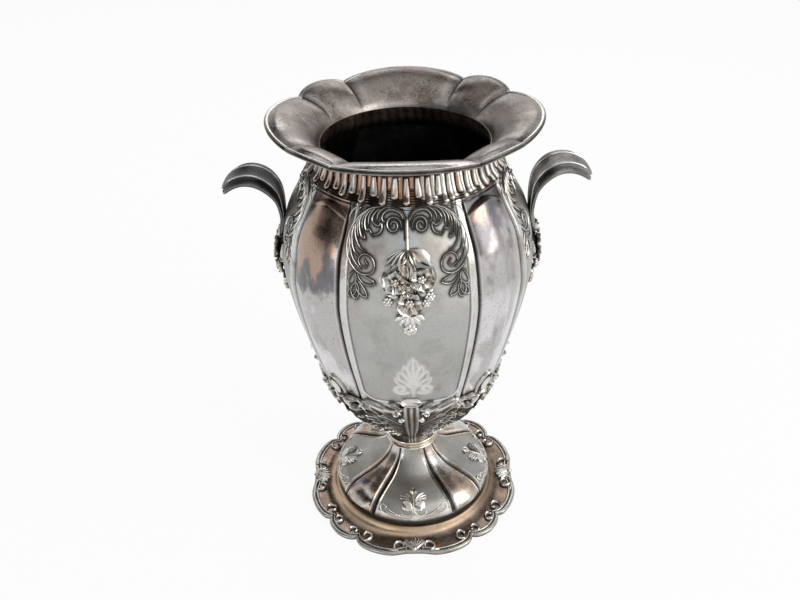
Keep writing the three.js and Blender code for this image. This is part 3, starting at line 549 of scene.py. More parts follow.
def around(angle, radius, z):
    """The point at a turn from the front towards +X, a distance from the axis and a height."""
    angle, radius, z = arrays(angle, radius, z)
    return np.stack([radius * np.sin(angle), -radius * np.cos(angle), z], -1)


def heights(node):
    """The lowest and highest point of a CAD node in millimetres."""
    low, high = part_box(node)
    return low.z / MM, high.z / MM


body_bottom, body_top = heights("body_shell")
neck_top = heights("neck_band")[1]
dome_bottom, dome_top = heights("foot_dome")
mouth_top = body_top + 32
belly_radius = 80.5
body_foot_radius = 15.5
shoulder_radius = 60
belly_z = body_bottom + 151
lower_outline = [
    (0, 0), (0.045, 0.03), (0.09, 0.11), (0.2, 0.35), (0.31, 0.55), (0.42, 0.68), (0.64, 0.84), (0.83, 0.945)]
upper_outline = [(0, 1), (0.24, 0.94), (0.49, 0.795), (0.62, 0.645), (0.75, 0.425), (1, 0)]


def in_millimetres(outline, bottom, top, end_radius):
    """An outline given as shares of a height and of the way out to the belly."""
    return [(lerp(bottom, top, up), lerp(end_radius, belly_radius, out)) for up, out in outline]


body_radius = smooth_curve(in_millimetres(lower_outline, body_bottom, belly_z, body_foot_radius)
                           + in_millimetres(upper_outline, belly_z, body_top, shoulder_radius))

panel_half = math.radians(31)
groove_half_width = 1.35
strip_width = 5.3
strip_height = 0.7
groove_depth = 1.5
lobe_height = 2.4
strip_inner = panel_half - (groove_half_width + strip_width) / belly_radius
lobe_edge = panel_half + groove_half_width / belly_radius
lobe_top_z = 265.4
lobe_top_droop = 5.5
panel_floor_z = 131.5
panel_corner = 8
relief_fade_in = 43
painted_shadow_under_calyx = (68, 56)
darker_scrolls = (236, 262)


def body_frame(angle, z):
    """On the plain outline: the point, and the way out of the sheet there."""
    angle, z = arrays(angle, z)
    slope = body_radius(z + 0.5) - body_radius(z - 0.5)
    radial = around(angle, 1.0, 0.0)
    tall = np.zeros_like(radial)
    tall[..., 2] = 1
    out = (radial - tall * slope[..., None]) / np.hypot(1, slope)[..., None]
    return around(angle, body_radius(z), z), out


def folded_to_front(angle):
    """The turn from the nearest panel's middle, the same at either side of it."""
    return np.abs(angle - quarter * np.round(angle / quarter))


def panel_edge_distance(folded, z):
    """How far a point lies outside the matted field, a rectangle with round lower corners, in millimetres."""
    dx = folded * body_radius(z) - (strip_inner * body_radius(z) - panel_corner)
    dz = panel_floor_z + panel_corner - z
    past_corner = np.hypot(np.maximum(dx, 0), np.maximum(dz, 0))
    return past_corner + np.minimum(np.maximum(dx, dz), 0) - panel_corner


def body_relief(angle, z):
    """How far the sheet stands out, and its inks. Measured across a border in millimetres at the belly:
    the panel, a fine line, the raised strip, the groove, and then the lobe, which rises as a cosine."""
    angle, z = arrays(angle, z)
    folded = folded_to_front(angle)
    off = (folded - panel_half) * belly_radius
    fade = smooth_step(z, body_bottom, body_bottom + relief_fade_in)
    edge = -(groove_half_width + strip_width)
    strip = smooth_step(off, edge - 0.3, edge + 0.6) * smooth_step(off, -1.0, -2.2)
    groove = bump_at(off, 0, 0.85)
    on_lobe = folded > lobe_edge
    share = np.clip((eighth - folded) / (eighth - lobe_edge), 0, 1)
    lobe_end = lobe_top_z - lobe_top_droop * share ** 2
    lobe = np.cos(share * quarter) ** 0.8 * on_lobe * smooth_step(z, lobe_end, lobe_end - 3.5)
    over_lobe = on_lobe * smooth_step(z, lobe_end - 1.5, lobe_end + 0.5)
    outside = panel_edge_distance(folded, z)
    field = smooth_step(outside, -0.3, -1.0)
    line = bump_at(outside, 0, 0.45)
    bead = bump_at(outside, 1.5, 0.7) * smooth_step(z, panel_floor_z + 9, panel_floor_z + 2)
    lift = strip_height * strip - groove_depth * groove + lobe_height * lobe + 0.5 * bead - 0.35 * line
    hollow = over_lobe * smooth_step(z, body_top, body_top - 3)
    lift = lift * fade * smooth_step(z, body_top - 1, body_top - 4) - 1.2 * hollow
    # Painted shade darkens the band at each lobe's top end, the sunk shoulder over it and the foot under the
    # calyx. The groove holds patina, and the strip's edge, the lobe's edge and the bead are brightened as
    # wear and painted highlight.
    under_lobe = on_lobe * bump_at(z, lobe_end - 0.2, 1.5) * lerp(0.95, 0.4, share)
    groove_dark = bump_at(off, 0.1, 1.3) * 0.92 * fade
    recess = np.maximum.reduce([groove_dark, line * 0.75, np.minimum(under_lobe, 0.95), hollow * 0.5])
    recess = np.maximum(recess, smooth_step(z, *painted_shadow_under_calyx) * 0.6)
    strip_wear_and_highlight = 0.75 * bump_at(off, edge + 0.9, 0.45) * (outside < 3)
    lobe_wear_and_highlight = 0.5 * bump_at(off, 1.9, 0.5)
    worn = (strip_wear_and_highlight + lobe_wear_and_highlight) * fade * (z > panel_floor_z - 20) + bead * 0.5
    return lift, {"recess": recess, "matte": field, "worn": np.clip(worn, 0, 1)}


def on_body(x, z, lift=0.0, turn=0.0):
    """The point x mm sideways from a panel's middle at a height, lifted off the sheet, and the way out."""
    x, z, lift = arrays(x, z, lift)
    angle = x / body_radius(z) + turn
    point, out = body_frame(angle, z)
    sheet_lift = body_relief(angle, z)[0]
    return point + out * (sheet_lift + lift)[..., None], out


print("belly radius in mm:", belly_radius, "at height", belly_z)
print("a strip's inner edge in degrees:", round(math.degrees(strip_inner), 1))

# %% [markdown]
# The chased work on the panels is a drawing in metal: scrolls and comb-like leaves as thin bright ridges
# over a darkened ground, and a bright palmette below. So the drawing comes first, as curves in a panel's
# own millimetres, sideways and up. The curves are then used twice: to darken or brighten the sheet close
# to them, and to carry a thin half-round wire along each of them.

# %% The drawing of a panel


def through(points, count):
    """A smooth line through points: each coordinate is a smooth curve of the distance along them."""
    points = np.array(points, float)
    along = np.concatenate([[0], np.cumsum(np.linalg.norm(np.diff(points, axis=0), axis=1))])
    steps = np.linspace(0, along[-1], count)
    return np.stack([smooth_curve(np.stack([along, values], 1))(steps) for values in points.T], -1)


def volute(centre, start_radius, end_radius, start_degrees, turn_degrees, count):
    """A spiral whose radius falls evenly while it turns about its centre."""
    t = np.linspace(0, 1, count)
    angle = np.radians(start_degrees + turn_degrees * t)
    radius = lerp(start_radius, end_radius, t)
    return np.stack([centre[0] + radius * np.cos(angle), centre[1] + radius * np.sin(angle)], -1)


def leaf_outline(root, tip, width, bend):
    """Out from the root to the tip and back, as wide as a sine in between, and bent sideways as one."""
    root, tip = np.array(root, float), np.array(tip, float)
    axis = tip - root
    across = np.array([-axis[1], axis[0]]) / np.linalg.norm(axis)
    t = np.concatenate([np.linspace(0, 1, points_a_side), np.linspace(1, 0, points_a_side)])
    side = np.repeat([1.0, -1.0], points_a_side)
    swell = np.sin(np.pi * t ** 1.15) ** 0.6 * width / 2
    return root + axis * t[:, None] + across * (side * swell + bend * np.sin(np.pi * t))[:, None]


points_a_side = 13
outer_arc = [
    (1.0, 259.5), (1.2, 262.4), (2.5, 265.0), (5.4, 267.2), (10.0, 268.1), (15.0, 267.9), (20.3, 266.6),
    (25.0, 263.8), (28.8, 260.4), (32.0, 256.0), (34.2, 251.0), (35.1, 245.9), (34.5, 240.7), (32.0, 236.6),
    (28.5, 233.8), (24.7, 233.1), (21.0, 234.4), (19.0, 237.6), (19.3, 241.3), (21.7, 243.7), (24.8, 244.2),
    (27.5, 242.6), (28.4, 240.0), (27.0, 237.7), (24.5, 237.3), (23.1, 239.0), (24.2, 240.8)]
comb_leaves = [
    [(1.5, 261.8), (3.8, 265.2), (6.7, 266.6), (9.9, 266.6), (12.5, 265.2), (13.9, 262.6), (13.0, 260.6),
     (11.9, 261.6)],
    [(14.4, 267.0), (17.0, 265.5), (18.9, 263.4), (19.6, 261.4), (18.3, 259.5), (16.0, 258.7), (14.3, 260.1),
     (14.1, 257.6), (15.8, 255.1), (19.3, 253.8)],
    [(19.0, 266.3), (21.3, 264.9), (23.3, 262.2), (24.0, 259.0), (23.2, 255.9), (21.6, 256.6), (20.2, 254.6)],
    [(23.0, 265.0), (25.7, 262.4), (27.2, 259.4), (27.2, 255.6), (25.9, 252.2), (24.2, 252.0), (24.9, 254.0)],
    [(27.0, 261.6), (29.3, 258.2), (30.0, 253.7), (28.9, 249.8), (26.7, 246.6), (24.0, 245.4)],
    [(29.6, 258.6), (31.6, 253.7), (32.0, 248.5), (30.5, 244.6), (27.9, 243.0)],
]
comb_veins = [
    [(11.2, 268.0), (14.6, 266.0), (16.4, 263.6), (16.9, 261.2)],
    [(17.0, 267.4), (20.0, 264.8), (21.5, 262.0), (21.9, 258.8)],
    [(21.2, 266.2), (23.9, 263.3), (25.6, 259.6), (25.6, 256.2)],
    [(25.2, 263.6), (27.6, 260.4), (28.6, 256.4), (28.2, 252.0)],
    [(33.2, 252.8), (33.5, 247.6), (32.4, 242.4), (30.2, 238.8), (27.4, 236.4)],
]
spray_leaves = [
    ((29.5, 233.6), (19.0, 228.6), 4.4, 1.5), ((31.2, 234.0), (35.4, 225.0), 4.4, -0.9),
    ((30.0, 229.5), (24.4, 219.6), 4.6, 0.9), ((30.4, 227.5), (31.4, 217.6), 5.0, 0.4),
    ((31.0, 226.5), (35.8, 218.4), 4.0, -0.7),
]


def scroll_lines():
    """Half of the scroll work. Its wide lines are the arc that ends in the lower volute, the upper volute
    and the comb's leaves. Its fine ones are the comb's veins, a tendril, and the spray under the volute."""
    wide = [through(outer_arc, 120), volute((7.6, 259.3), 4.6, 1.3, 200, -560, 60)]
    wide += [through(points, 44) for points in comb_leaves]
    fine = [through(points, 22) for points in comb_veins]
    fine.append(through([(24.5, 268.6), (28.5, 266.4), (32.0, 263.0), (34.4, 258.4)], 20))
    fine.append(volute((27.0, 266.8), 2.0, 0.6, 100, -300, 20))
    return wide, fine + [leaf_outline(*leaf) for leaf in spray_leaves]


palmette_leaves = [
    ((0, 150), (0, 175), 6.4, 0), ((0.8, 152), (5.2, 168), 4.2, -0.8), ((1.3, 150), (8.6, 162.5), 4.4, -1.2),
    ((1.8, 148.5), (10.8, 156.5), 4.2, -1.4),
]
palmette_shift = 1.6


def palmette_lines():
    """Half of the palmette: a tall middle leaf, three leaves beside it and two volutes at its foot."""
    lines = [leaf_outline(*leaf) for leaf in palmette_leaves]
    lines.append(through([(0, 137.5), (0.6, 143), (1.0, 150), (0.5, 160), (0.2, 168)], 24))
    lines.append(volute((7.6, 145.0), 5.8, 1.3, 215, 420, 44))
    lines.append(volute((7.4, 145.4), 3.9, 1.0, 250, 300, 30))
    lines.append(through([(1.4, 147), (3.6, 156), (6.4, 162)], 16))
    lines.append(through([(2.0, 147), (5.0, 151.5), (9.4, 155)], 16))
    return lines


def palmette_middles():
    """The leaves' middle lines, which with the outlines say where the palmette is bright."""
    lines = []
    for root, tip, _, bend in palmette_leaves:
        middle = ((root[0] + tip[0]) / 2 + bend, (root[1] + tip[1]) / 2)
        lines.append(through([root, middle, tip], 20))
    return lines + [volute((7.6, 145.2), 4.8, 1.2, 215, 420, 30)]


def mirrored(lines, shift=0.0):
    """The lines and their mirror images about the panel's middle, all moved sideways by a shift."""
    both_sides = lines + [line * np.array([-1, 1]) for line in lines]
    return [line + np.array([shift, 0]) for line in both_sides]


wide_lines, fine_lines = (mirrored(lines) for lines in scroll_lines())
foot_lines = mirrored(palmette_lines(), palmette_shift)
foot_middles = mirrored(palmette_middles(), palmette_shift)
drawing = np.concatenate(wide_lines + fine_lines + foot_lines + foot_middles)
print("lines in a panel:", len(wide_lines), "wide,", len(fine_lines + foot_lines), "fine")

# %% [markdown]
# Two forms carry nearly all the ornament. A wire is a half-round ridge that follows a line on a curved
# sheet, as a chaser's line or a soldered wire does. A leaf is a thin plate along a spine, which may be
# cupped, creased, rounded as a rib or laid with its underside in the sheet.

# %% Wires and leaves laid on a surface
wire_top = np.array([0.15, 0.6, 1, 0.6, 0.15, 0, 0])


def wire(line, width, height, surface, depth=0.35, blunt=0.12, closed=False, worn=0.8, recess=0.5):
    """A half-round ridge along a line: the section's top is an arc of a width and a height, its foot is
    sunk by a depth, and both shrink to a point near the ends over the blunt share of the length."""
    point, out = surface(line[:, 0], line[:, 1])
    along = np.roll(point, -1, 0) - np.roll(point, 1, 0) if closed else np.gradient(point, axis=0)
    side = np.cross(out, unit(along))
    t = np.linspace(0, 1, len(line))
    full = np.ones(len(line)) if closed else np.sqrt(np.clip(np.minimum(t, 1 - t) / blunt, 0.03, 1))
    arc = np.linspace(0, math.pi, 5)
    across = np.concatenate([np.cos(arc), [-1, 1]])[None, :, None] * (width / 2 * full)[:, None, None]
    lift = np.concatenate([np.sin(arc), [0, 0]])[None, :, None] * (height * full)[:, None, None]
    lift = lift - np.array([0] * 5 + [depth] * 2)[None, :, None]
    # The top of each wire is painted bright as wear and highlight, and its sides dark as patina and painted
    # shade.
    top = np.broadcast_to(wire_top, across.shape[:2])
    rings = point[:, None] + side[:, None] * across + out[:, None] * lift
    shaded = recess * (1 - top if worn > 0 else np.ones_like(top))
    return loft(rings, runs_into_itself=closed, worn=worn * top, recess=shaded)


def leaf(spine, side, out, half_width, cup=0.0, thickness=0.5, crease=0.0, across=7, worn_rim=0.7, shade=0.6,
         is_rib=False, ground=0.0):
    """A leaf or a petal. Along its spine the section is a plate: its top runs from edge to edge, lifted by
    cup times the square of the share from the middle and sunk by a crease at the middle, and its
    underside comes back a thickness lower, which may differ from station to station. Its rim is painted
    bright as wear and highlight, its middle keeps patina and painted shade, and its underside is painted
    darker as shade. A rib is painted bright along its middle instead, as highlight, with shade at its
    sides, and a leaf with a ground is at least that dark all over except for a narrower rim."""
    half_width = np.asarray(half_width, float)[:, None, None]
    s = np.linspace(-1, 1, across)
    rise = cup * s ** 2 - crease * np.exp(-(s / 0.22) ** 2)
    upper = spine[:, None] + side[:, None] * half_width * s[None, :, None]
    upper = upper + out[:, None] * rise[None, :, None]
    thickness = np.broadcast_to(thickness, (len(spine),))[:, None, None]
    lower = upper[:, ::-1] - out[:, None] * thickness
    t = np.linspace(0, 1, len(spine))[:, None]
    rim = np.maximum(np.abs(s)[None] ** (6 if ground else 3), smooth_step(t, 0.8, 1.0))
    if is_rib:
        rim = np.ones_like(t) * (1 - s ** 2)[None]
    root = smooth_step(t, 0.55, 0.0)
    hollow = np.clip(root + 0.5 * np.exp(-(s / 0.25) ** 2)[None], 0, 1)
    recess = np.maximum(shade * hollow, ground) * (1 - rim)
    return loft(np.concatenate([upper, lower], 1), worn=np.concatenate([worn_rim * rim, 0 * rim], 1),
                recess=np.concatenate([recess, np.full_like(rim, 0.6)], 1))


def seated(local, x, z, surface, lift=0.0, lean=0.0):
    """A skin made about its own origin, moved to its seat: its Y points up the vase and its Z out of it,
    and a lean tips its Z up."""
    point, out = surface(np.array([x, x]), np.array([z - 0.5, z + 0.5]))
    out = out.mean(0)
    up = point[1] - point[0]
    up = unit(up - out * (up @ out))
    side = np.cross(up, out)
    leant_up = up * math.cos(lean) - out * math.sin(lean)
    leant_out = out * math.cos(lean) + up * math.sin(lean)
    middle = point.mean(0) + out * lift
    return {**local, "points": local["points"] @ np.stack([side, leant_up, leant_out]) + middle}


far_away = 99.0
points_in_a_group = 4000


def nearness(x, z, lines, reach):
    """1 on a line, falling as a bell with the distance to the nearest point of the drawing. Points beyond
    three reaches count as far away, and the others are taken in groups to spare memory."""
    flat = np.stack([x.reshape(-1), z.reshape(-1)], -1)
    near = np.full(len(flat), far_away)
    low, high = lines.min(0) - 3 * reach, lines.max(0) + 3 * reach
    where = np.nonzero(((flat > low) & (flat < high)).all(1))[0]
    for group in np.array_split(where, max(1, len(where) // points_in_a_group)):
        gaps = np.hypot(flat[group, None, 0] - lines[None, :, 0], flat[group, None, 1] - lines[None, :, 1])
        near[group] = gaps.min(1)
    return np.exp(-(near / reach) ** 2).reshape(x.shape)


# %% [markdown]
# The body's skin is laid as eight closed pieces, four panels and four lobes, so that none of them
# needs too many triangles. Each has its outside, a plain inside a sheet's thickness deeper, and edges
# that meet the next piece at the bottom of a groove, where nobody sees the joint. The grid is finest
# across the borders and even along the outline. Below the shoulder the wall is thicker than a real
# sheet, so that neither the grooves nor what is sunk into the panels comes through on the inside.

# %% The body
sheet = 1.2
full_sheet = 1.9
palmette_top_z = 180
drawing_reach = 1.5


def even_heights(low, high, step):
    """Heights whose distance along the outline, not up the axis, is the same."""
    fine = np.linspace(low, high, 2000)
    length = np.concatenate([[0], np.cumsum(np.hypot(np.diff(fine), np.diff(body_radius(fine))))])
    return np.interp(np.linspace(0, length[-1], int(length[-1] / step) + 1), length, fine)


def chased_ground(x, z, lines, lift, inks):
    """The sheet under a drawing. High up the ground between the scrolls is sunk and dark, most of all at the
    top. Low down the palmette itself stands out of the matting, smooth and brightened as wear and painted
    highlight."""
    ground = nearness(x, z * np.ones_like(x), lines, drawing_reach) * inks["matte"]
    scrolls = (z >= palmette_top_z) * ground
    palmette = (z < palmette_top_z) * ground ** 2.2
    darker_top = lerp(1.0, 1.35, smooth_step(z, *darker_scrolls))
    inks["recess"] = np.maximum(inks["recess"], np.clip(scrolls * darker_top, 0, 1))
    inks["matte"] = inks["matte"] * (1 - palmette)
    inks["worn"] = np.maximum(inks["worn"], np.clip(1.4 * palmette, 0, 1) * 0.52)
    return lift - 0.35 * scrolls + 0.25 * np.clip(1.6 * palmette, 0, 1)


def body_piece(columns, lines=None):
    """Outside rows from the foot to the shoulder, then plain inside rows back down, joined into loops."""
    z = even_heights(body_bottom, body_top, 0.95)[:, None]
    angle = columns[None, :]
    lift, inks = body_relief(angle, z)
    x = np.arctan2(np.sin(angle), np.cos(angle)) * body_radius(z)
    if lines is not None:
        lift = chased_ground(x, z, lines, lift, inks)
    point, out = body_frame(angle, z)
    inner_z = even_heights(body_bottom + sheet, body_top, 8)[::-1][:, None]
    inner, inner_out = body_frame(angle, inner_z)
    wall = lerp(sheet, full_sheet, smooth_step(inner_z, body_top - 4, body_top - 14))
    # The inside is painted dark as shade, lighter near the shoulder.
    inner_painted_shade = lerp(1.0, 0.6, smooth_step(inner_z, body_top - 45, body_top - 5))
    return two_sided(point + out * lift[..., None], inner - inner_out * wall[..., None], inks,
                     {"recess": inner_painted_shade}, np.stack([x, z * np.ones_like(x)], -1))


def columns_with_fine_ends(start, end, border, fine, coarse):
    """Angles from start to end, finer over a border at both ends."""
    parts = [np.linspace(start, start + border, fine), np.linspace(start + border, end - border, coarse),
             np.linspace(end - border, end, fine)]
    return np.unique(np.round(np.concatenate(parts), 9))


sides = ["front", "right", "back", "left"]
corners = ["front_right", "back_right", "back_left", "front_left"]
panel_columns = columns_with_fine_ends(-panel_half, panel_half, math.radians(5.6), 26, 110)
lobe_columns = columns_with_fine_ends(panel_half, quarter - panel_half, 0.05, 14, 34)
panel_skins = [body_piece(panel_columns, drawing)]
lobe_skins = [body_piece(lobe_columns)]
for turn, (side_name, corner_name) in enumerate(zip(sides, corners)):
    piece(f"body_panel_{side_name}", turned_all(panel_skins, turn), panel_silver,
          ["body_shell"])
    piece(f"body_lobe_{corner_name}", turned_all(lobe_skins, turn), polished_silver,
          ["body_shell"])

floor_profile = [
    (0.3, body_bottom), (body_foot_radius - 0.2, body_bottom), (body_foot_radius + 0.3, body_bottom + 0.8),
    (body_foot_radius - 0.4, body_bottom + 1.5), (0.3, body_bottom + 1.5)]
floor_ring = np.linspace(0, 2 * math.pi, 96, endpoint=False)
floor_rows = np.stack([around(floor_ring, radius, z) for radius, z in floor_profile])
# The floor inside the body is painted black as shade.
piece("body_floor", [loft(floor_rows, recess=1.0)], polished_silver, ["body_shell"])

# %% [markdown]
# A chaser drives each line of the drawing into the sheet with a blunt punch and a hammer, and the metal
# beside the punch rises as a thin bright ridge. So each scroll line gets a half-round wire. The
# palmette's outlines are the other way round: thin dark strokes that end its bright leaves.

# %% The chased lines on the panels
scroll_skins = [wire(line, 0.85, 0.75, on_body, blunt=0.3) for line in wide_lines]
scroll_skins += [wire(line, 0.65, 0.6, on_body, blunt=0.3, worn=0.7) for line in fine_lines]
scroll_skins += [wire(line, 0.5, 0.12, on_body, 0.1, 0.3, worn=0.0, recess=0.9) for line in foot_lines]
for turn, side_name in enumerate(sides):
    piece(f"chased_scrolls_{side_name}", turned_all(scroll_skins, turn), cast_silver,
          ["body_shell"])

# %% [markdown]
# A bouquet is cast by itself and soldered to each panel: two full roses over smaller flowers, with
# florets, leaves and a fan below. A flower is a ring of cupped petals round a knot of little balls, all
# on a low cushion, so one petal formula makes every blossom and fan on the vase.

# %% Balls, petals and blossoms
mound_sunk = 0.7


def turned_solid(profile, count=16, across=1.0, along=1.0, **inks):
    """A profile of (radius, height) points turned about Z, squeezed sideways or lengthways to an oval."""
    radius, height = np.array(profile, float).T
    roll = np.linspace(0, 2 * math.pi, count, endpoint=False)
    sideways = radius[:, None] * np.cos(roll) * across
    lengthways = radius[:, None] * np.sin(roll) * along
    return loft(np.stack(arrays(sideways, lengthways, height[:, None]), -1), **inks)


def bead(radius, at=(0, 0, 0), flat=1.0, across=1.0, along=1.0, worn=0.7, count=12):
    """A ball, or an egg where it is squeezed: the radius is a sine of the turn from pole to pole."""
    turn = np.linspace(0.1, math.pi - 0.1, 8)
    profile = np.stack([radius * np.sin(turn), radius * np.cos(turn) * flat], 1)
    # The top is painted bright as highlight and wear, and the lower half dark as shade.
    top = (np.cos(turn)[:, None] + 1) / 2
    skin = turned_solid(profile, count, across, along, worn=worn * top ** 2, recess=(1 - top) ** 2 * 1.2)
    return {**skin, "points": skin["points"] + np.array(at)}


def mound(radius, height):
    """A low cushion under a blossom, a circle's arc that starts just inside the sheet."""
    turn = np.linspace(0.06, quarter, 6)
    profile = np.stack([radius * np.sin(turn), height * np.cos(turn)], 1)
    foot = [(radius, -mound_sunk), (radius * 0.05, -mound_sunk)]
    # The cushion is painted dark as shade under the petals.
    return turned_solid(np.concatenate([profile, foot]), recess=0.9)


def petal(turn, start, end, low, high, width, curl, cup, thickness, middle, shade=0.8, is_rib=False):
    """A petal that leaves the middle at a turn. Its spine runs out from start to end and rises from low
    to high as a sine, its outline is half of an ellipse past the middle, and its end may curl down."""
    t = np.linspace(0, 1, 9)
    rise = lerp(low, high, np.sin(t * quarter)) - curl * smooth_step(t, 0.55, 1.0)
    direction = np.array([math.cos(turn), math.sin(turn), 0])
    spine = direction * lerp(start, end, t)[:, None] + np.array([0, 0, 1]) * rise[:, None]
    side = np.broadcast_to(np.array([-math.sin(turn), math.cos(turn), 0]), spine.shape)
    out = np.cross(unit(np.gradient(spine, axis=0)), side)
    widening = lerp(0.45, 1.0, t / middle)
    rounded = np.sqrt(np.clip(1 - ((t - middle) / (1.02 - middle)) ** 2, 0.01, 1))
    half = width / 2 * np.where(t < middle, widening, rounded)
    return leaf(spine, side, out, half, cup, thickness, worn_rim=0.8, shade=shade, is_rib=is_rib)


def rose(radius, height, turn):
    """Five broad petals, each a cup with a bright rim, round a knot of little balls."""
    skins = [mound(radius * 0.82, height * 0.5)]
    for i in range(5):
        where = turn + i * 2 * math.pi / 5 + 0.08 * math.sin(3 * i)
        skins.append(petal(where, 0.20 * radius, radius, 0.40 * height, 0.62 * height, 1.08 * radius,
                           -0.06 * height, 0.36 * height, 0.14 * height, middle=0.60, shade=1.0))
    return skins + cluster(radius * 0.34, 0.80 * height, 5)


def blossom(radius, height, count, turn):
    """An open flower: one ring of cupped petals, and in its middle little balls round a higher one."""
    skins = [mound(radius * 0.7, height * 0.45)]
    for i in range(count):
        where = turn + i * 2 * math.pi / count
        skins.append(petal(where, 0.18 * radius, radius, 0.34 * height, 0.78 * height, 1.22 * radius,
                           0.0, 0.34 * height, 0.14 * height, middle=0.62, shade=1.0))
    return skins + cluster(radius * 0.36, 0.8 * height, 6)


def cluster(radius, height, count):
    """Little balls in a ring about one that stands higher."""
    size = radius * 0.45
    turns = np.arange(count) * 2 * math.pi / count
    ring = [(radius * 0.62 * math.cos(turn), radius * 0.62 * math.sin(turn), height * 0.8) for turn in turns]
    return [bead(size, at, count=8) for at in ring] + [bead(size * 1.1, (0, 0, height), count=8)]


def fan(radius, height, count, spread_degrees, width, facing_degrees=-90):
    """Ribs with a round back that open like a hand, the outer ones a little shorter."""
    places = np.linspace(-1, 1, count)
    turns = np.radians(facing_degrees + spread_degrees / 2 * places)
    reaches = radius * (1 - 0.10 * np.abs(places))
    return [petal(turn, 0.05 * radius, reach, 0.7 * height, height, width, 0.25 * height, -0.9, 0.7 * height,
                  0.75, is_rib=True) for turn, reach in zip(turns, reaches)]


def seated_all(skins, *seat):
    """All the skins of a flower moved to one seat."""
    return [seated(skin, *seat) for skin in skins]


leaf_rows = 14


def laid_leaf(points, width, surface, rise=0.9, droop=0.0, cup=0.0, crease=0.25, seat=0.5, worn_rim=0.7,
              shade=0.6, full=0.8, ground=0.0):
    """A leaf that lies on a surface: its spine runs through points and lifts as half a sine, with a
    droop or a lift at its tip, and its width is a sine whose widest place the fullness moves. Its
    underside stays a seat's depth below the surface, so it never shows on a sheet's other side."""
    line = through(points, leaf_rows)
    t = np.linspace(0, 1, leaf_rows)
    lift = rise * np.sin(np.pi * (0.12 + 0.76 * t)) + droop * t ** 3
    point, out = surface(line[:, 0], line[:, 1], lift)
    side = np.cross(out, unit(np.gradient(point, axis=0)))
    half = width / 2 * np.sin(np.pi * (0.05 + 0.90 * t ** full)) ** 0.75
    thickness = lift + seat + min(cup, 0)
    return leaf(point, side, out, half, cup, thickness, crease, 11 if ground else 7, worn_rim, shade,
                ground=ground)


# %% [markdown]
# All bouquets are cast from one pattern. A cushion fills the gaps behind the flowers, and leaves and
# little balls cover the joints. On the side panels the handles' roots take the space above, so there the
# bouquet sits lower, without the stalk and the leaves that fold over the roses.

# %% The bouquets
bouquet_middle = body_bottom + 162
side_drop = 18
cushion = [(0.05, 1.7), (0.5, 1.5), (0.8, 0.9), (0.98, 0.1), (1.0, -0.8), (0.05, -0.8)]
floret_places = [(-11.4, 3.2, 3.1), (11.6, 5.8, 3.2), (9.4, 2.0, 2.7), (-3.4, 20.0, 2.4)]
small_leaves = [
    ([(0.4, 27), (2.6, 22), (0.8, 11)], 3.4, 4.4), ([(-1.2, 24.5), (-1.4, 20.5), (-1.0, 15)], 3.8, 4.2),
    ([(-0.4, 28), (-3.6, 24.5), (-2.0, 18)], 3.0, 4.4), ([(-4.0, 9), (-8.5, 7.0), (-13, 7.6)], 3.6, 2.4),
    ([(3.5, 9.4), (8.5, 8.2), (13.6, 9.4)], 3.8, 2.6), ([(-13.4, 20), (-14.6, 15), (-12.6, 9.6)], 3.0, 1.8),
    ([(13.6, 22), (15.0, 16.5), (13.4, 10.6)], 3.0, 1.8)]
bow_leaf = [(1.0, 31.6), (5.2, 29.8), (9.2, 26.8), (12.6, 22.6)]
bow_root = 31.4
bow_blades = [
    (-12.6, 25.6, 2.7, 2.6), (-13.0, 22.4, 2.7, 3.2), (-10.2, 21.0, 2.5, 3.8), (-6.4, 20.8, 2.4, 4.2),
    (4.4, 21.8, 2.4, 4.0)]


def bouquet(drop, has_stalk):
    """Two roses over two smaller flowers, with florets, a fan and leaves between. All of it is placed
    from the lower flower, in millimetres sideways and up the panel. With a stalk it also gets the leaves
    that fold over the roses."""
    z = bouquet_middle - drop

    def strip(points, width, rise, **more):
        return laid_leaf([(x, z + up) for x, up in points], width, on_body, rise, **more)

    # The cushion is painted dark as shade behind the flowers.
    skins = [seated(turned_solid(cushion, 30, 12.2, 9.5, recess=0.95), 0.2, z + 13, on_body)]
    skins += seated_all(rose(7.2, 5.0, 0.2), -7.4, z + 14.8, on_body)
    skins += seated_all(rose(7.2, 5.4, 1.1), 7.2, z + 16.4, on_body)
    skins += seated_all(blossom(4.8, 4.8, 5, 0.4), -0.2, z + 11.4, on_body)
    skins += seated_all(blossom(7.4, 4.6, 5, 0.9), 0.4, z + 2.2, on_body)
    for x, up, size in floret_places:
        skins += seated_all(cluster(size, 2.8, 6), x, z + up, on_body)
    skins += seated_all(fan(10.4, 3.4, 6, 122, 3.8), 0.4, z - 3.6, on_body)
    skins += seated_all(cluster(4.2, 3.4, 7), 0.4, z - 14.2, on_body)
    skins += [strip(*small_leaf, worn_rim=0.85) for small_leaf in small_leaves]
    if has_stalk:
        skins.append(strip(bow_leaf, 7.0, 2.8, cup=-0.9, crease=0.0, worn_rim=0.9, shade=0.2, full=0.9))
        for end_x, end_up, width, rise in bow_blades:
            bend = (0.55 * end_x, lerp(bow_root, end_up, 0.42))
            blade = [(0.1 * end_x, bow_root), bend, (end_x, end_up)]
            skins.append(strip(blade, width, rise, cup=0.3, crease=0.5, worn_rim=0.9, shade=0.8))
        stem = np.stack([np.zeros(24), np.linspace(z + 26, body_top - 4.5, 24)], 1)
        # A dark line beside the stem is its painted shadow.
        stem_painted_shadow = stem[10:] + np.array([-1.6, 0])
        skins.append(wire(stem, 2.3, 1.6, on_body, worn=0.6))
        skins.append(wire(stem_painted_shadow, 1.0, 0.6, on_body, worn=0.0, recess=1.0))
    return skins


for turn, side_name in enumerate(sides):
    is_under_handle = side_name in ("right", "left")
    made = bouquet(side_drop if is_under_handle else 0, not is_under_handle)
    piece(f"bouquet_spray_{side_name}", turned_all(made, turn), cast_silver,
          [f"bouquet_{side_name}"])

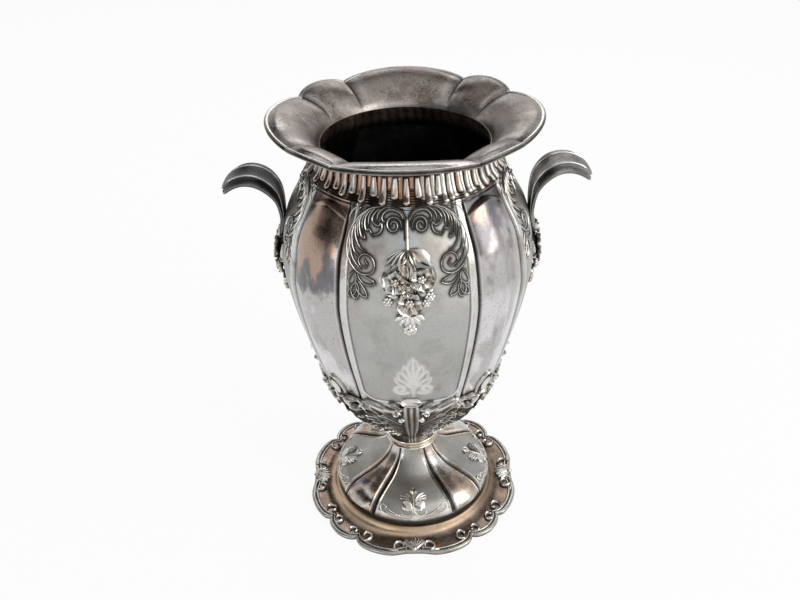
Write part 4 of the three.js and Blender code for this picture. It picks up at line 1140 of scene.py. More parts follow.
# %% [markdown]
# Four acanthus leaves hold the body's foot as a calyx holds a flower. Each has a fluted midrib that
# ends in a scooped tip, and fronds that sweep up to either side. The leaf is one thin relief wrapped
# round the body, nearly black in its hollows, and the fronds are leaves laid on it with rims painted
# bright as wear and highlight.

# %% The calyx
leaf_half_angle = math.radians(43)
leaf_rise = 81
leaf_top = smooth_curve([(0, 0.97), (0.2, 0.86), (0.42, 0.87), (0.65, 0.9), (0.85, 0.78), (1, 0.86)])
leaf_lift = 1.5
midrib_half_widths = (2.9, 5.8)
midrib_heights = (60, 126)
flutes_on_midrib = 3
ripple_pitch = 7.5
frond_seat = 0.5 + leaf_lift * 0.4


def on_calyx(x, z, lift=0.0):
    """The same as on_body, for what lies on the calyx's sheet."""
    return on_body(x, z, np.asarray(lift, float) + leaf_lift * 0.8)


def calyx_sheet():
    """Columns round the body; rows from the knop up to the lobed top edge; flutes across the midrib and a
    bead along the edge stand out of the ground."""
    angle = np.linspace(-leaf_half_angle, leaf_half_angle, 130)[None, :]
    up = np.linspace(0.0, 1, 64)[:, None]
    z = body_bottom + up * leaf_rise * leaf_top(np.abs(angle) / leaf_half_angle)
    point, out = body_frame(angle, z)
    x = angle * body_radius(z)
    half = lerp(*midrib_half_widths, smooth_step(z, *midrib_heights))
    inside = smooth_step(np.abs(x), half, half - 0.8)
    flutes = np.cos(x / half * flutes_on_midrib * math.pi)
    edge = bump_at(up, 0.975, 0.03) * (np.abs(x) > 6)
    ripple = np.cos((np.abs(x) * 0.8 - (z - 60)) * 2 * math.pi / ripple_pitch) * (1 - inside)
    lift = leaf_lift + inside * (1.0 + 0.45 * flutes) + 0.7 * edge + 0.45 * ripple * smooth_step(up, 0, 0.1)
    lift = lift * smooth_step(up, 1.03, 0.99) + body_relief(angle, z)[0]
    on_ground = 0.95 * (1 - inside) * (1 - edge) - 0.12 * ripple
    recess = np.clip(on_ground + inside * (0.5 - 0.45 * flutes), 0, 1)
    recess = recess * lerp(0.5, 1.0, smooth_step(up, 0.0, 0.16))
    worn = np.clip(edge * 0.8 + inside * 0.35 * (flutes > 0.3), 0, 1)
    return two_sided(point + out * lift[..., None], (point - out * 0.3)[::-1],
                     {"recess": recess, "worn": worn}, {"recess": 1.0})


fronds = [
    [(5.5, 104), (13, 113), (24, 121), (38, 127)],
    [(5.5, 97), (13, 105), (22, 112), (34, 117.5)],
    [(5.2, 90), (11, 97.5), (18, 104), (29, 107.5)],
    [(5.0, 83), (10, 90), (16, 95.5), (24, 97.5)],
    [(4.6, 76), (9, 82), (14, 86.5), (20, 88)],
    [(4.2, 69), (8, 74), (12, 77), (16, 78)],
]
frond_widths = [7.5, 7.0, 6.2, 5.4, 4.6, 3.8]
tip_stations = [(12, 0.62), (20, 0.80), (29, 1.0)]


def frond_leaf(points, width, rise, droop, **more):
    """A leaf laid on the calyx, its underside sunk nearly down to the body's sheet."""
    return laid_leaf(points, width, on_calyx, rise, droop, seat=frond_seat, **more)


def fronds_of_a_side(side):
    """A frond is a dull leaf that sweeps up and out, and from it curl three tips painted bright as wear and
    highlight, each a small leaf that leaves it nearly level. Above them come two curls and two little leaves."""
    mirror = np.array([side, 1])
    skins = []
    for row, (points, width) in enumerate(zip(fronds, frond_widths)):
        spine = np.array(points, float) * mirror
        skins.append(frond_leaf(spine, 0.7 * width, 1.0, 0.3, cup=0.25, crease=0.5, worn_rim=0.85,
                                shade=1.0, full=1.15, ground=0.8))
        line = through(spine, 31)
        for station, size in tip_stations:
            start = line[station]
            turn = math.radians(24 - 0.5 * station + 5 * math.sin(row * 2.1 + station))
            way = np.array([side * math.cos(turn), math.sin(turn)])
            across = np.array([-side * way[1], side * way[0]])
            reach = (5.4 + 0.40 * width) * size
            tip = [start - way, start + way * reach * 0.5 + across * 0.9, start + way * reach]
            skins.append(frond_leaf(tip, 0.38 * width * size + 0.6, 2.0, 1.2, cup=0.45, crease=0.3,
                                    worn_rim=1.0, shade=1.0, full=1.1, ground=0.6))
    for centre, start, turns in (((9.4, 119.5), 3.2, -430), ((6.4, 112.0), 2.3, -400)):
        curl = volute(centre, start, 0.8, 200, turns, 34) * mirror
        skins.append(wire(curl, 1.3, 2.0, on_calyx, worn=1.0))
    for points, width, rise, droop in (([(6.4, 123), (9.4, 128.5), (14.5, 130.5)], 3.6, 1.4, 0.6),
                                       ([(16, 122), (23, 126.5), (31, 129)], 3.2, 1.0, 0.5)):
        skins.append(frond_leaf(np.array(points) * mirror, width, rise, droop, worn_rim=0.9, ground=0.6))
    return skins


scoop_profile = [(0.05, -0.9), (0.55, -0.75), (0.86, -0.1), (0.98, 0.35), (1.06, 0.30), (1.08, 0.0),
                 (0.9, -0.9), (0.4, -1.7), (0.05, -1.9)]
# The scoop's upper face is painted bright as highlight and wear, and its underside is not.
scoop_wear_and_highlight = np.array([0.55, 0.7, 0.9, 1, 1, 0.6, 0.1, 0, 0])[:, None]
scoop = turned_solid(scoop_profile, 36, 6.4, 2.7, worn=scoop_wear_and_highlight)
calyx_skins = [calyx_sheet()] + fronds_of_a_side(1) + fronds_of_a_side(-1)
calyx_skins.append(seated(scoop, 0, body_bottom + leaf_rise - 1.2, on_body, 2.4, lean=0.9))


def loop_of_a_corner():
    """A pointed oval of wire round a polished oval, on the lobe between two leaves, over four curls."""
    middle_z = body_bottom + 80
    turn = np.linspace(0, 2 * math.pi, 49)[:-1]

    def on_corner(x, z, lift=0.0):
        return on_body(x, z, lift, eighth)

    def oval_disc(shares, rise, **inks):
        share = np.array(shares)[:, None]
        x, z = arrays(6.3 * share * np.cos(turn), middle_z + 9.6 * share * np.sin(turn))
        top = on_corner(x, z, rise * (1 - share ** 2) + 0.1)[0]
        base = on_corner(x[[-1, 0]], z[[-1, 0]], -0.6)[0]
        return loft(np.concatenate([top, base]), **inks)

    oval = np.stack([6.5 * np.cos(turn) * (1 - 0.22 * np.sin(turn)), middle_z + 10 * np.sin(turn)], 1)
    # Inside the wire a low disc is painted dark as patina and shade, and a raised disc bright as polish and
    # painted highlight.
    skins = [wire(oval, 1.8, 1.7, on_corner, closed=True, worn=0.55),
             oval_disc([0.02, 0.5, 0.98], 0.15, recess=1.0),
             oval_disc([0.02, 0.25, 0.45, 0.6], 2.2, worn=np.array([1, 1, 0.9, 0.5, 0, 0])[:, None])]
    for side in (-1, 1):
        for centre, start in (((7.6, middle_z - 9), 3.0), ((4.4, middle_z - 13.5), 2.2)):
            curl = volute(centre, start, 0.8, 200, -400, 30) * np.array([side, 1])
            skins.append(wire(curl, 1.3, 1.6, on_corner, worn=0.85))
    return skins


loop_skins = loop_of_a_corner()
for turn, (side_name, corner_name) in enumerate(zip(sides, corners)):
    piece(f"acanthus_{side_name}", turned_all(calyx_skins, turn), cast_silver,
          [f"calyx_leaf_{side_name}"])
    piece(f"corner_oval_{corner_name}", turned_all(loop_skins, turn), cast_silver,
          [f"calyx_loop_{corner_name}"])

# %% [markdown]
# The neck is a band of upright reeds, long and short by turns, that laps over the body's shoulder like
# the petals of a daisy. Between them the ground is cut with little steps and holds dark patina. High up
# the gaps are filled with smooth metal, coppery on the left and silvery on the right.

# %% The neck
reed_count = 56
reed_pitch = 2 * math.pi / reed_count
reed_points = 22
neck_foot_z = body_top - 1.2
neck_head_z = neck_top + 0.2
neck_sheet = 1.9
step_pitch = 1.1
long_reed_end = body_top + 1
short_reed_end = body_top + 3.4
neck_curve = smooth_curve([(body_top - 8, 64.8), (body_top - 3, 62.4), (body_top, 60.8),
                           (body_top + 5.25, 56.2), (neck_top, 53.1)])


def neck_radius(z):
    """The band's own curve above the shoulder, and the body with the band's thickness on it below."""
    blend = smooth_step(z, body_top - 2, body_top + 1)
    return lerp(body_radius(np.minimum(z, body_top)) + 1.0, neck_curve(z), blend)


def on_neck(angle, z, lift=0.0):
    """The point of the band at an angle and a height, lifted off it, and the way out there."""
    angle, z, lift = arrays(angle, z, lift)
    slope = neck_radius(z + 0.5) - neck_radius(z - 0.5)
    out = unit(around(angle, 1.0, 0.0) - np.stack([0 * slope, 0 * slope, slope], -1))
    return around(angle, neck_radius(z), z) + out * lift[..., None], out


def neck_band():
    """Rows down the outside in little steps, smooth and bright above and black below, and up the inside,
    where the reeds show as shallow waves that sink into painted shade. The foot of the band and its top
    edge are painted dark as shade. The matte ink is copper here."""
    angle = np.linspace(0, 2 * math.pi, reed_count * 10, endpoint=False)[None, :]
    z = np.linspace(neck_head_z, neck_foot_z, 56)[:, None]
    reed_wave = np.cos(angle * reed_count)
    steps = np.cos((z + 0.35 * np.cos(angle * 7)) * 2 * math.pi / step_pitch)
    ladder = 0.5 + 0.5 * np.sin(angle * reed_count / 2)
    mid_gap = smooth_step(-reed_wave, 0.0, 0.6)
    across = np.sin(angle)
    silvery = smooth_step(across, 0.08, 0.34)
    block_foot = body_top + lerp(3.6 + 4.6 * ladder, 0.6 + 1.5 * ladder, silvery)
    high = smooth_step(z, block_foot, block_foot + 0.8) * mid_gap
    high = high * lerp(0.55, 1.0, smooth_step(across, -1.0, -0.6))
    ground, _ = on_neck(angle, z, -0.85 + 0.22 * steps * ladder * (1 - high) + 0.55 * high)
    recess = lerp(0.95 - 0.75 * (0.5 + 0.5 * steps) * (0.3 + 0.7 * ladder) * mid_gap, 0.02, high)
    # Painted shade at the foot of the band, where it meets the shoulder, and along its top edge.
    recess = np.maximum(recess, 0.95 * smooth_step(z, neck_foot_z + 1.2, neck_foot_z))
    recess = np.maximum(recess, 0.9 * smooth_step(z, neck_top - 0.6, neck_top))
    patchy = 0.6 + 0.4 * np.sin(5 * angle + 1) * np.sin(17 * angle)
    outer_inks = {"recess": recess, "matte": high * (1 - silvery) * patchy, "worn": 0.75 * high * silvery}

    inner_z = np.linspace(body_top - 2, neck_head_z, 16)[:, None]
    wave = 0.45 * reed_wave * smooth_step(inner_z, neck_top, neck_top - 3)
    inner = around(angle, neck_radius(inner_z) - neck_sheet + wave, inner_z)
    # The inside is painted darker deeper down as shade, and darker between the reeds.
    depth = smooth_step(inner_z, neck_top - 3, neck_top - 13)
    top_edge = 0.75 * smooth_step(inner_z, neck_top - 1.6, neck_top)
    between = 0.30 * (0.6 - reed_wave) * smooth_step(depth, 0, 0.2)
    inner_inks = {"recess": np.clip(top_edge + depth + between, 0, 1),
                  "matte": 0.5 * (1 - 0.5 * depth), "worn": 0.15 * (1 - depth)}
    return two_sided(ground, inner, outer_inks, inner_inks, runs_into_itself=True)


def reed(number):
    """A flat paddle of wire down the band. Its end, lean and width vary a little, as made by hand."""
    end = (long_reed_end if number % 2 == 0 else short_reed_end) + 0.5 * math.sin(number * 2.4)
    share = np.linspace(0, 1, reed_points)
    lean = 0.012 * math.sin(number * 1.7) * share
    line = np.stack([number * reed_pitch + lean, lerp(neck_top + 0.1, end, share)], 1)
    widest = 4.3 + 0.4 * math.sin(number * 3.1)
    width = lerp(2.5, widest, smooth_step(share, 0.0, 0.75))
    return wire(line, width, 1.15, on_neck, 0.9, 0.05, worn=0.5, recess=0.9)


reed_skins = [neck_band()] + [reed(number) for number in range(reed_count)]
piece("neck_reeds", reed_skins, reeded_silver, ["neck_band"])

# %% [markdown]
# The mouth opens into eight petals, four wide and four narrow. Each swells between two creases as a
# sine, from the throat to a rolled edge that a wire stiffens. The upper and lower faces of the sheet
# are the same formula, a sheet's thickness apart.

# %% The mouth
notch_angle = math.radians(30.9)
petal_roundness = 0.64
throat_radius = 51.65
wide_edge, narrow_edge, notch_edge = 80.4, 79.0, 75.2
wide_drop, narrow_drop, notch_drop = 0.4, 0.6, 4.8
mouth_sheet = 1.2
rim_wire_radius = 1.5
crease_line = np.array([(0, 0), (0.09, 0.24), (0.28, 0.56), (0.53, 0.8), (0.8, 0.95), (1, 1)])
petal_line = np.array([(0, 0), (0.08, 0.28), (0.28, 0.66), (0.53, 0.94), (0.82, 1.08), (1, 1)])
row_share = np.linspace(0, 1, len(crease_line))
crease_out, crease_up, petal_out, petal_up = (
    smooth_curve(np.stack([row_share, line[:, i]], 1)) for line in (crease_line, petal_line) for i in (0, 1))


def spread(count):
    """Shares from 0 to 1, closer together at both ends, so that the creases stay crisp."""
    return 0.5 - 0.5 * np.cos(np.linspace(0, math.pi, count + 1)[:-1])


wide_petal = lerp(-notch_angle, notch_angle, spread(66))
narrow_petal = lerp(notch_angle, quarter - notch_angle, spread(48))
two_petals = np.concatenate([wide_petal, narrow_petal])
petal_angles = np.concatenate([turn * quarter + two_petals for turn in range(4)])


def mouth_outline(angle, share):
    """Radius, height and swell at an angle and a share of the way from the throat to the edge."""
    folded = angle - quarter * np.floor((angle + notch_angle) / quarter + 1e-9)
    is_wide = folded < notch_angle - 1e-9
    across = np.where(is_wide, (folded + notch_angle) / (2 * notch_angle),
                      (folded - notch_angle) / (quarter - 2 * notch_angle))
    swell = np.sin(np.pi * np.clip(across, 0, 1)) ** petal_roundness
    edge = np.where(is_wide, wide_edge, narrow_edge)
    top = mouth_top - np.where(is_wide, wide_drop, narrow_drop)
    crease_radius = lerp(throat_radius, notch_edge, crease_out(share))
    crease_z = lerp(neck_top, mouth_top - notch_drop, crease_up(share))
    radius = lerp(crease_radius, lerp(throat_radius, edge, petal_out(share)), swell)
    z = lerp(crease_z, lerp(neck_top, top, petal_up(share)), swell)
    return radius, z, swell


def mouth_direction(angle, share):
    """The way along the outline, outwards and up, as a pair of lengths."""
    r0, z0, _ = mouth_outline(angle, np.clip(share - 0.02, 0, 1))
    r1, z1, _ = mouth_outline(angle, np.clip(share + 0.02, 0, 1))
    length = np.hypot(r1 - r0, z1 - z0)
    return (r1 - r0) / length, (z1 - z0) / length


def mouth_flare():
    """The upper face from the throat to the edge, and the lower one back. The creases hold dark patina and
    painted shade, the lower face is painted darker as shade, and the front edge and the back of the
    throat carry painted highlights."""
    angle = petal_angles[None, :]
    share = np.linspace(0, 1, 40)[:, None]
    radius, z, swell = mouth_outline(angle, share)
    out_r, out_z = mouth_direction(angle, share)
    lower = around(angle, radius + mouth_sheet * out_z, z - mouth_sheet * out_r)[::-1]
    crease = np.clip(1 - swell / 0.22, 0, 1) * smooth_step(share, 0.1, 0.35)
    ridge = bump_at(swell, 0.42, 0.12) * smooth_step(share, 0.2, 0.5)
    front_edge_highlight = smooth_step(share, 0.66, 0.9) * smooth_step(radius * np.cos(angle), 50, 62) * 0.75
    painted_highlight = bump_at(share, 0.10, 0.07) * smooth_step(np.cos(angle + 0.35), -0.5, -1.0) * 0.5
    worn = np.maximum(np.maximum(ridge * 0.25, front_edge_highlight), painted_highlight)
    return two_sided(around(angle, radius, z), lower, {"recess": crease * 0.9, "worn": worn},
                     {"recess": 0.35}, runs_into_itself=True)


def rim_roll():
    """A wire along the edge, its middle just beyond the sheet's edge."""
    angle = petal_angles[:, None]
    radius, z, _ = mouth_outline(angle, 1.0)
    out_r, out_z = mouth_direction(angle, 1.0)
    middle_r = radius + 1.1 * out_r + 0.6 * out_z
    middle_z = z + 1.1 * out_z - 0.6 * out_r
    roll = np.linspace(0, 2 * math.pi, 20, endpoint=False)[None, :]
    sideways, upwards = rim_wire_radius * np.cos(roll), rim_wire_radius * np.sin(roll)
    rings = around(angle, middle_r + sideways, middle_z + upwards)
    # The roll's top is painted bright as highlight, most in front, and its outer side dark as shade.
    in_front = smooth_step(np.cos(angle), -0.6, 0.3)
    painted_highlight = bump_at(roll, 1.9, 0.6) * lerp(0.3, 1.0, in_front) + 0.7 * bump_at(roll, 5.35, 0.3)
    outer_side_shade = 0.95 * bump_at(roll, 0.35, 0.75) + 0.5 * bump_at(roll, 6.2, 0.5)
    return loft(rings, runs_into_itself=True, worn=painted_highlight, recess=np.clip(outer_side_shade, 0, 1))


piece("mouth_petals", [mouth_flare()], tarnished_silver, ["mouth_flare"], sharp=50)
piece("rim_roll", [rim_roll()], edge_silver, ["rim_wire"], sharp=70)

# %% [markdown]
# Each handle is three long leaves side by side, soldered to the body at their foot. They rise along
# the shoulder and curl outwards, and each ends in its own rounded tip, the middle one furthest on.
# A band is a gently hollowed section carried along an arc, and thin cords cover the two joints.

# %% The handles
handle_reach = 115.6
curl_z = body_top - 22
curl_gap = 6.7
curl_radius = (handle_reach - float(body_radius(curl_z)) - curl_gap) / 2
curl_x = handle_reach - curl_radius
strap_width = 32
strap_foot_width = 18
strap_thickness = 3.0
strap_foot_thickness = 2.4
middle_share = 0.235
strap_arch = 0.008
strap_stations = 60
cord_radius = 0.6
middle_end_degrees, side_end_degrees, cord_end_degrees = 26, 36, 46
left_handle_rise, right_handle_rise = -0.6, 3.0


def handle_line(end_degrees, rise):
    """In the plane of the side: up the body, then over an arc, as one smooth line of (out, up)."""
    foot_z = np.array([body_top - 46, body_top - 42, body_top - 38, curl_z - 0.7 * curl_radius])
    seat = np.stack([body_radius(foot_z) + strap_foot_thickness / 2 + 0.4, foot_z], 1)
    turn = np.radians(np.linspace(176, end_degrees, 10))
    curl = np.stack([curl_x + curl_radius * np.cos(turn), curl_z + rise + curl_radius * np.sin(turn)], 1)
    return through(np.concatenate([seat, curl]), strap_stations)


def strap_frame(end_degrees, rise):
    """Along the strap: its line, the way out of its face, its width, its thickness and the share passed."""
    line = handle_line(end_degrees, rise)
    along = unit(np.gradient(line, axis=0))
    out = np.stack([-along[:, 1], along[:, 0]], 1)
    t = np.linspace(0, 1, len(line))
    width = lerp(strap_foot_width, strap_width, smooth_step(t, 0.05, 0.6))
    thickness = lerp(strap_foot_thickness, strap_thickness, smooth_step(t, 0.1, 0.7))
    return line, out, width, thickness, t


def arched(across, width, t):
    """Over the arc the strap's two sides slope away from its middle; at its foot they follow the body."""
    return strap_arch * across ** 2 * (width / strap_width) ** 2 * lerp(1.5, -1.0, smooth_step(t, 0.1, 0.5))


def handle_band(place, end_degrees, rise):
    """A leaf with a hollowed face: its edges stand up a little and its back is round. The place is 0 in
    the middle and -1 or 1 at a side."""
    line, out, width, thickness, t = strap_frame(end_degrees, rise)
    rounded_tip = np.sqrt(np.clip(1 - (np.clip(t - 0.88, 0, 1) / 0.123) ** 2, 0.03, 1))
    end = rounded_tip * np.sqrt(np.clip(t / 0.05, 0.2, 1))
    half = width * middle_share if place == 0 else width * (0.5 - middle_share) / 2
    centre = place * (width * middle_share + half - 0.2)
    s = np.linspace(-1, 1, 11)
    face = 0.5 - 0.42 * (1 - s ** 2)
    back = -0.5 * (0.35 + 0.65 * np.sqrt(np.clip(1 - s ** 2, 0, 1)))
    across = np.concatenate([s, s[::-1]])[None] * (half * end)[:, None] + centre[:, None]
    blunt = (thickness * (0.7 + 0.3 * end) * (1 if place == 0 else 0.7))[:, None]
    lift = np.concatenate([face, back[::-1]])[None] * blunt + arched(across, width[:, None], t[:, None])
    flat = line[:, None] + out[:, None] * lift[..., None]
    # The edges and tip are painted bright as wear and highlight, and the hollow's middle darker as patina and
    # shade.
    edge = np.concatenate([np.abs(s) ** 6, 0 * s])[None]
    tip = smooth_step(t, 0.95, 1.0)[:, None]
    middle = np.concatenate([np.exp(-(s / 0.5) ** 2), 0 * s])[None]
    return loft(np.stack([flat[..., 0], across, flat[..., 1]], -1),
                worn=np.clip(0.25 * edge + 0.35 * tip, 0, 1), recess=0.15 + 0.25 * middle)


def handle_cord(place, rise):
    """A thin bright round cord along the strap, at a share of its half width."""
    line, out, width, thickness, t = (part[2:-2] for part in strap_frame(cord_end_degrees, rise))
    roll = np.linspace(0, 2 * math.pi, 8, endpoint=False)[None, :]
    round_size = cord_radius * np.sqrt(np.clip(np.minimum(t, 1 - t) / 0.06, 0.05, 1))[:, None]
    centre = place * width / 2
    middle = line + out * (thickness * 0.46 + arched(centre, width, t))[:, None]
    flat = middle[:, None] + out[:, None] * (round_size * np.sin(roll))[..., None]
    across = centre[:, None] + round_size * np.cos(roll)
    # The cord is painted bright all round as wear and highlight.
    return loft(np.stack([flat[..., 0], across, flat[..., 1]], -1), worn=1.0)


def on_side_panel(x, z):
    """The same as on_body, for the panel behind a handle."""
    return on_body(x, z, 0, quarter)


def handle(rise):
    """Three bands, a bright cord over each of their two joints, and the tongue at their foot."""
    skins = [handle_band(0, middle_end_degrees, rise)]
    skins += [handle_band(side, side_end_degrees, rise) for side in (-1, 1)]
    skins += [handle_cord(side * 2 * middle_share, rise) for side in (-1, 1)]
    tongue = bead(1.0, flat=0.5, across=8.2, along=3.0, worn=0.2)
    skins.append(seated(tongue, 0, body_top - 45.5, on_side_panel, 0.4))
    return skins


left_skins = turned_all(handle(left_handle_rise), 2)
piece("handle_leaves_right", handle(right_handle_rise), dark_silver, ["handle_right"])
piece("handle_leaves_left", left_skins, dark_silver, ["handle_left"])

# %% [markdown]
# The foot is a dome whose panels answer those of the body: four matted ones with a trefoil, four
# polished ones, and a dark groove between two bright ridges at each border. It stands on a collar,
# in the middle of a lobed plate.

# %% The foot dome
dome_radius = 58
dome_top_radius = 16.5
dome_sheet = 1.5
dome_line = np.array([
    (0, 1), (0.05, 0.81), (0.15, 0.65), (0.32, 0.5), (0.6, 0.39), (0.84, 0.28), (0.96, 0.13), (1, 0)])
dome_steps = np.diff(dome_line, axis=0) * np.array([dome_radius - dome_top_radius, dome_top - dome_bottom])
dome_length = np.concatenate([[0], np.cumsum(np.hypot(*dome_steps.T))])
dome_out, dome_up = (
    smooth_curve(np.stack([dome_length / dome_length[-1], part], 1)) for part in dome_line.T)


def dome_outline(share):
    """Radius and height at a share of the length from the knop to the edge."""
    return lerp(dome_top_radius, dome_radius, dome_out(share)), lerp(dome_bottom, dome_top, dome_up(share))


def dome_frame(angle, share):
    """On the plain dome: the point, the way out of the sheet and the radius there."""
    angle, share = arrays(angle, share)
    radius, z = dome_outline(share)
    r0, z0 = dome_outline(np.clip(share - 0.01, 0, 1))
    r1, z1 = dome_outline(np.clip(share + 0.01, 0, 1))
    length = np.hypot(r1 - r0, z1 - z0)
    out = around(angle, (z0 - z1) / length, (r1 - r0) / length)
    return around(angle, radius, z), out, radius


def dome_relief(angle, share, radius):
    """Across a border, in millimetres: the panel, a ridge, the groove, a second ridge, then the lobe."""
    folded = folded_to_front(angle)
    off = (folded - panel_half) * radius
    out_share = smooth_step(share, 0.02, 0.5)
    narrow = lerp(0.45, 1.0, out_share)
    groove = np.clip(1.4 * bump_at(off, 0, 1.35 * narrow), 0, 1)
    ridge = bump_at(off, -2.5 * narrow, 0.6 * narrow) + 0.7 * bump_at(off, 2.3 * narrow, 0.55 * narrow)
    across = np.clip((eighth - folded) / (eighth - panel_half), 0, 1)
    lobe = np.cos(across * quarter) ** 0.8 * (folded > panel_half)
    ends = smooth_step(share, 1.0, 0.97)
    lift = (0.7 * ridge * narrow - 1.2 * groove * narrow + 2.0 * lobe * out_share) * ends
    matte = smooth_step(off, -3.0, -3.8) * smooth_step(share, 0.93, 0.9)
    # The dome's lowest edge is painted dark as shade and its groove holds patina. The ridges and the panels'
    # lower edge are brightened as wear and painted highlight.
    recess = np.maximum(groove * 0.93, smooth_step(share, 0.97, 1.0) * 0.8)
    foot_edge = smooth_step(share, 0.905, 0.93) * smooth_step(share, 0.975, 0.96) * (off < -2) * 0.45
    return lift, {"recess": recess, "matte": matte, "worn": np.clip(ridge * 0.6 + foot_edge, 0, 1)}


def on_dome(x, share, lift=0.0):
    """The point x mm sideways from a dome panel's middle at a share of the length, and the way out."""
    point, out, radius = dome_frame(x / dome_outline(share)[0], share)
    sheet_lift = dome_relief(x / radius, share, radius)[0]
    return point + out * sheet_lift[..., None] + out * np.asarray(lift, float)[..., None], out


def foot_dome():
    """Rows from the knop to the edge, then the inside back up. The columns are fine at the borders."""
    before, after = panel_half - 0.12, panel_half + 0.09
    a_quarter = np.concatenate([
        lerp(-eighth, -after, spread(14)), np.linspace(-after, -before, 34),
        np.linspace(-before, before, 42)[1:-1], np.linspace(before, after, 34),
        lerp(after, eighth, spread(14))])
    all_round = np.concatenate([a_quarter + turn * quarter for turn in range(4)])
    angle = np.unique(np.round(all_round, 7))[None, :]
    share = np.linspace(0, 1, 84)[:, None]
    point, out, radius = dome_frame(angle, share)
    lift, inks = dome_relief(angle, share, radius)
    uv = np.stack([angle * radius, share * np.ones_like(angle) * dome_length[-1]], -1)
    # The inside is painted black as shade.
    return two_sided(point + out * lift[..., None], (point - out * dome_sheet)[::-6], inks, {"recess": 1.0},
                     uv, runs_into_itself=True)


dome_blades = [
    ((0.9, 0.770), (3.6, 0.690), (7.6, 0.640)), ((0.9, 0.775), (4.2, 0.712), (9.2, 0.675)),
    ((0.9, 0.780), (4.2, 0.740), (9.4, 0.715)), ((0.9, 0.785), (3.6, 0.765), (7.6, 0.752))]
dome_scrolls = [
    [(0.3, 0.78), (0.9, 0.85), (2.0, 0.90), (5.0, 0.918), (8.6, 0.90), (9.6, 0.86)],
    [(0.3, 0.86), (1.2, 0.93), (5.0, 0.965), (12.0, 0.955), (19.0, 0.93), (24.5, 0.90), (25.2, 0.85),
     (22.0, 0.825), (20.0, 0.855), (22.2, 0.88)],
    [(9.5, 0.93), (14.0, 0.90), (17.5, 0.875), (19.0, 0.84)],
    [(12.0, 0.925), (17.0, 0.915), (20.0, 0.90)]]


def trefoil():
    """On a dome panel: a knob on a stem, at each side four blades and a round leaf, and corner scrolls."""
    knob = [(0, 0.645), (0, 0.545)]
    stem = through([(0, 0.63), (0, 0.70), (0, 0.78), (0, 0.90)], 12)
    skins = [laid_leaf(knob, 5.6, on_dome, 1.7, 0.2, 0.0, 0.5, worn_rim=0.9, shade=0.1, full=1.0),
             wire(stem, 1.7, 0.9, on_dome, worn=0.7)]
    for side in (-1, 1):
        mirror = np.array([side, 1])
        for blade in dome_blades:
            skins.append(laid_leaf(np.array(blade) * mirror, 2.2, on_dome, 1.2, 0.4, 0.2, 0.3, worn_rim=0.8,
                                   shade=0.9, full=1.3))
        round_leaf = np.array([(1.3, 0.855), (4.7, 0.805), (8.2, 0.835)]) * mirror
        skins.append(laid_leaf(round_leaf, 7.2, on_dome, 1.8, 0.0, -0.3, 0.0, worn_rim=1.0, shade=0.0,
                               full=1.1))
        for line in dome_scrolls:
            skins.append(wire(through(np.array(line) * mirror, 34), 1.2, 0.7, on_dome, worn=0.9))
    return skins


piece("foot_dome_relief", [foot_dome()], domed_silver, ["foot_dome"])
trefoil_skins = trefoil()
for turn, side_name in enumerate(sides):
    piece(f"foot_trefoil_{side_name}", turned_all(trefoil_skins, turn), cast_silver,
          ["foot_dome"])

# %% [markdown]
# The foot plate is one lobed sheet with a shallow channel, and its border is a cast moulding: a round
# roll with a fine line inside it, fans of round ribs at the four sides, and scrolls beside them and at
# the notches. The outline is again one curve of the angle, folded eight times. The plate's gilding is
# rubbed off on the right, and its matte ink says where gold is left.

# %% The foot plate and its border
plate_notch = math.radians(34.3)
shell_radius, lobe_radius, notch_radius = 76.4, 80.2, 75.0
long_lobe_outline = [
    (0, shell_radius, 0), (0.15, shell_radius, 0.12), (0.35, shell_radius, 0.78), (0.58, lobe_radius, 1),
    (0.8, shell_radius, 0.85), (0.92, notch_radius, 0.6), (1, notch_radius, 0)]
short_lobe_outline = [(0, notch_radius, 0), (0.22, notch_radius, 0.5), (0.58, notch_radius, 0.85),
                      (1, lobe_radius, 1)]
long_lobe, short_lobe = (
    smooth_curve([(turn, lerp(start, lobe_radius, share)) for turn, start, share in outline])
    for outline in (long_lobe_outline, short_lobe_outline))
edge_z = 2.6
roll_middle, roll_size = 1.7, 1.5
line_inwards, line_size = 4.5, 0.8
plate_angles = np.linspace(0, 2 * math.pi, 720, endpoint=False)
seat_radii = np.linspace(46, 57.5, 5)
slope_radii = np.linspace(57.7, 62, 14)
channel_radii = np.linspace(62.5, 68, 10)
plate_slope = smooth_curve([
    (46, 8), (57.5, 8), (58.6, 7.2), (60.2, 5.0), (62, 3.7), (65, 2.7), (67.6, 2.3), (69, 2.3), (90, 2.6)])


def plate_outline(angle):
    """The edge's radius: a long lobe over each side and a short one over each corner."""
    folded = folded_to_front(angle)
    return np.where(folded <= plate_notch, long_lobe(folded / plate_notch),
                    short_lobe((folded - plate_notch) / (eighth - plate_notch)))


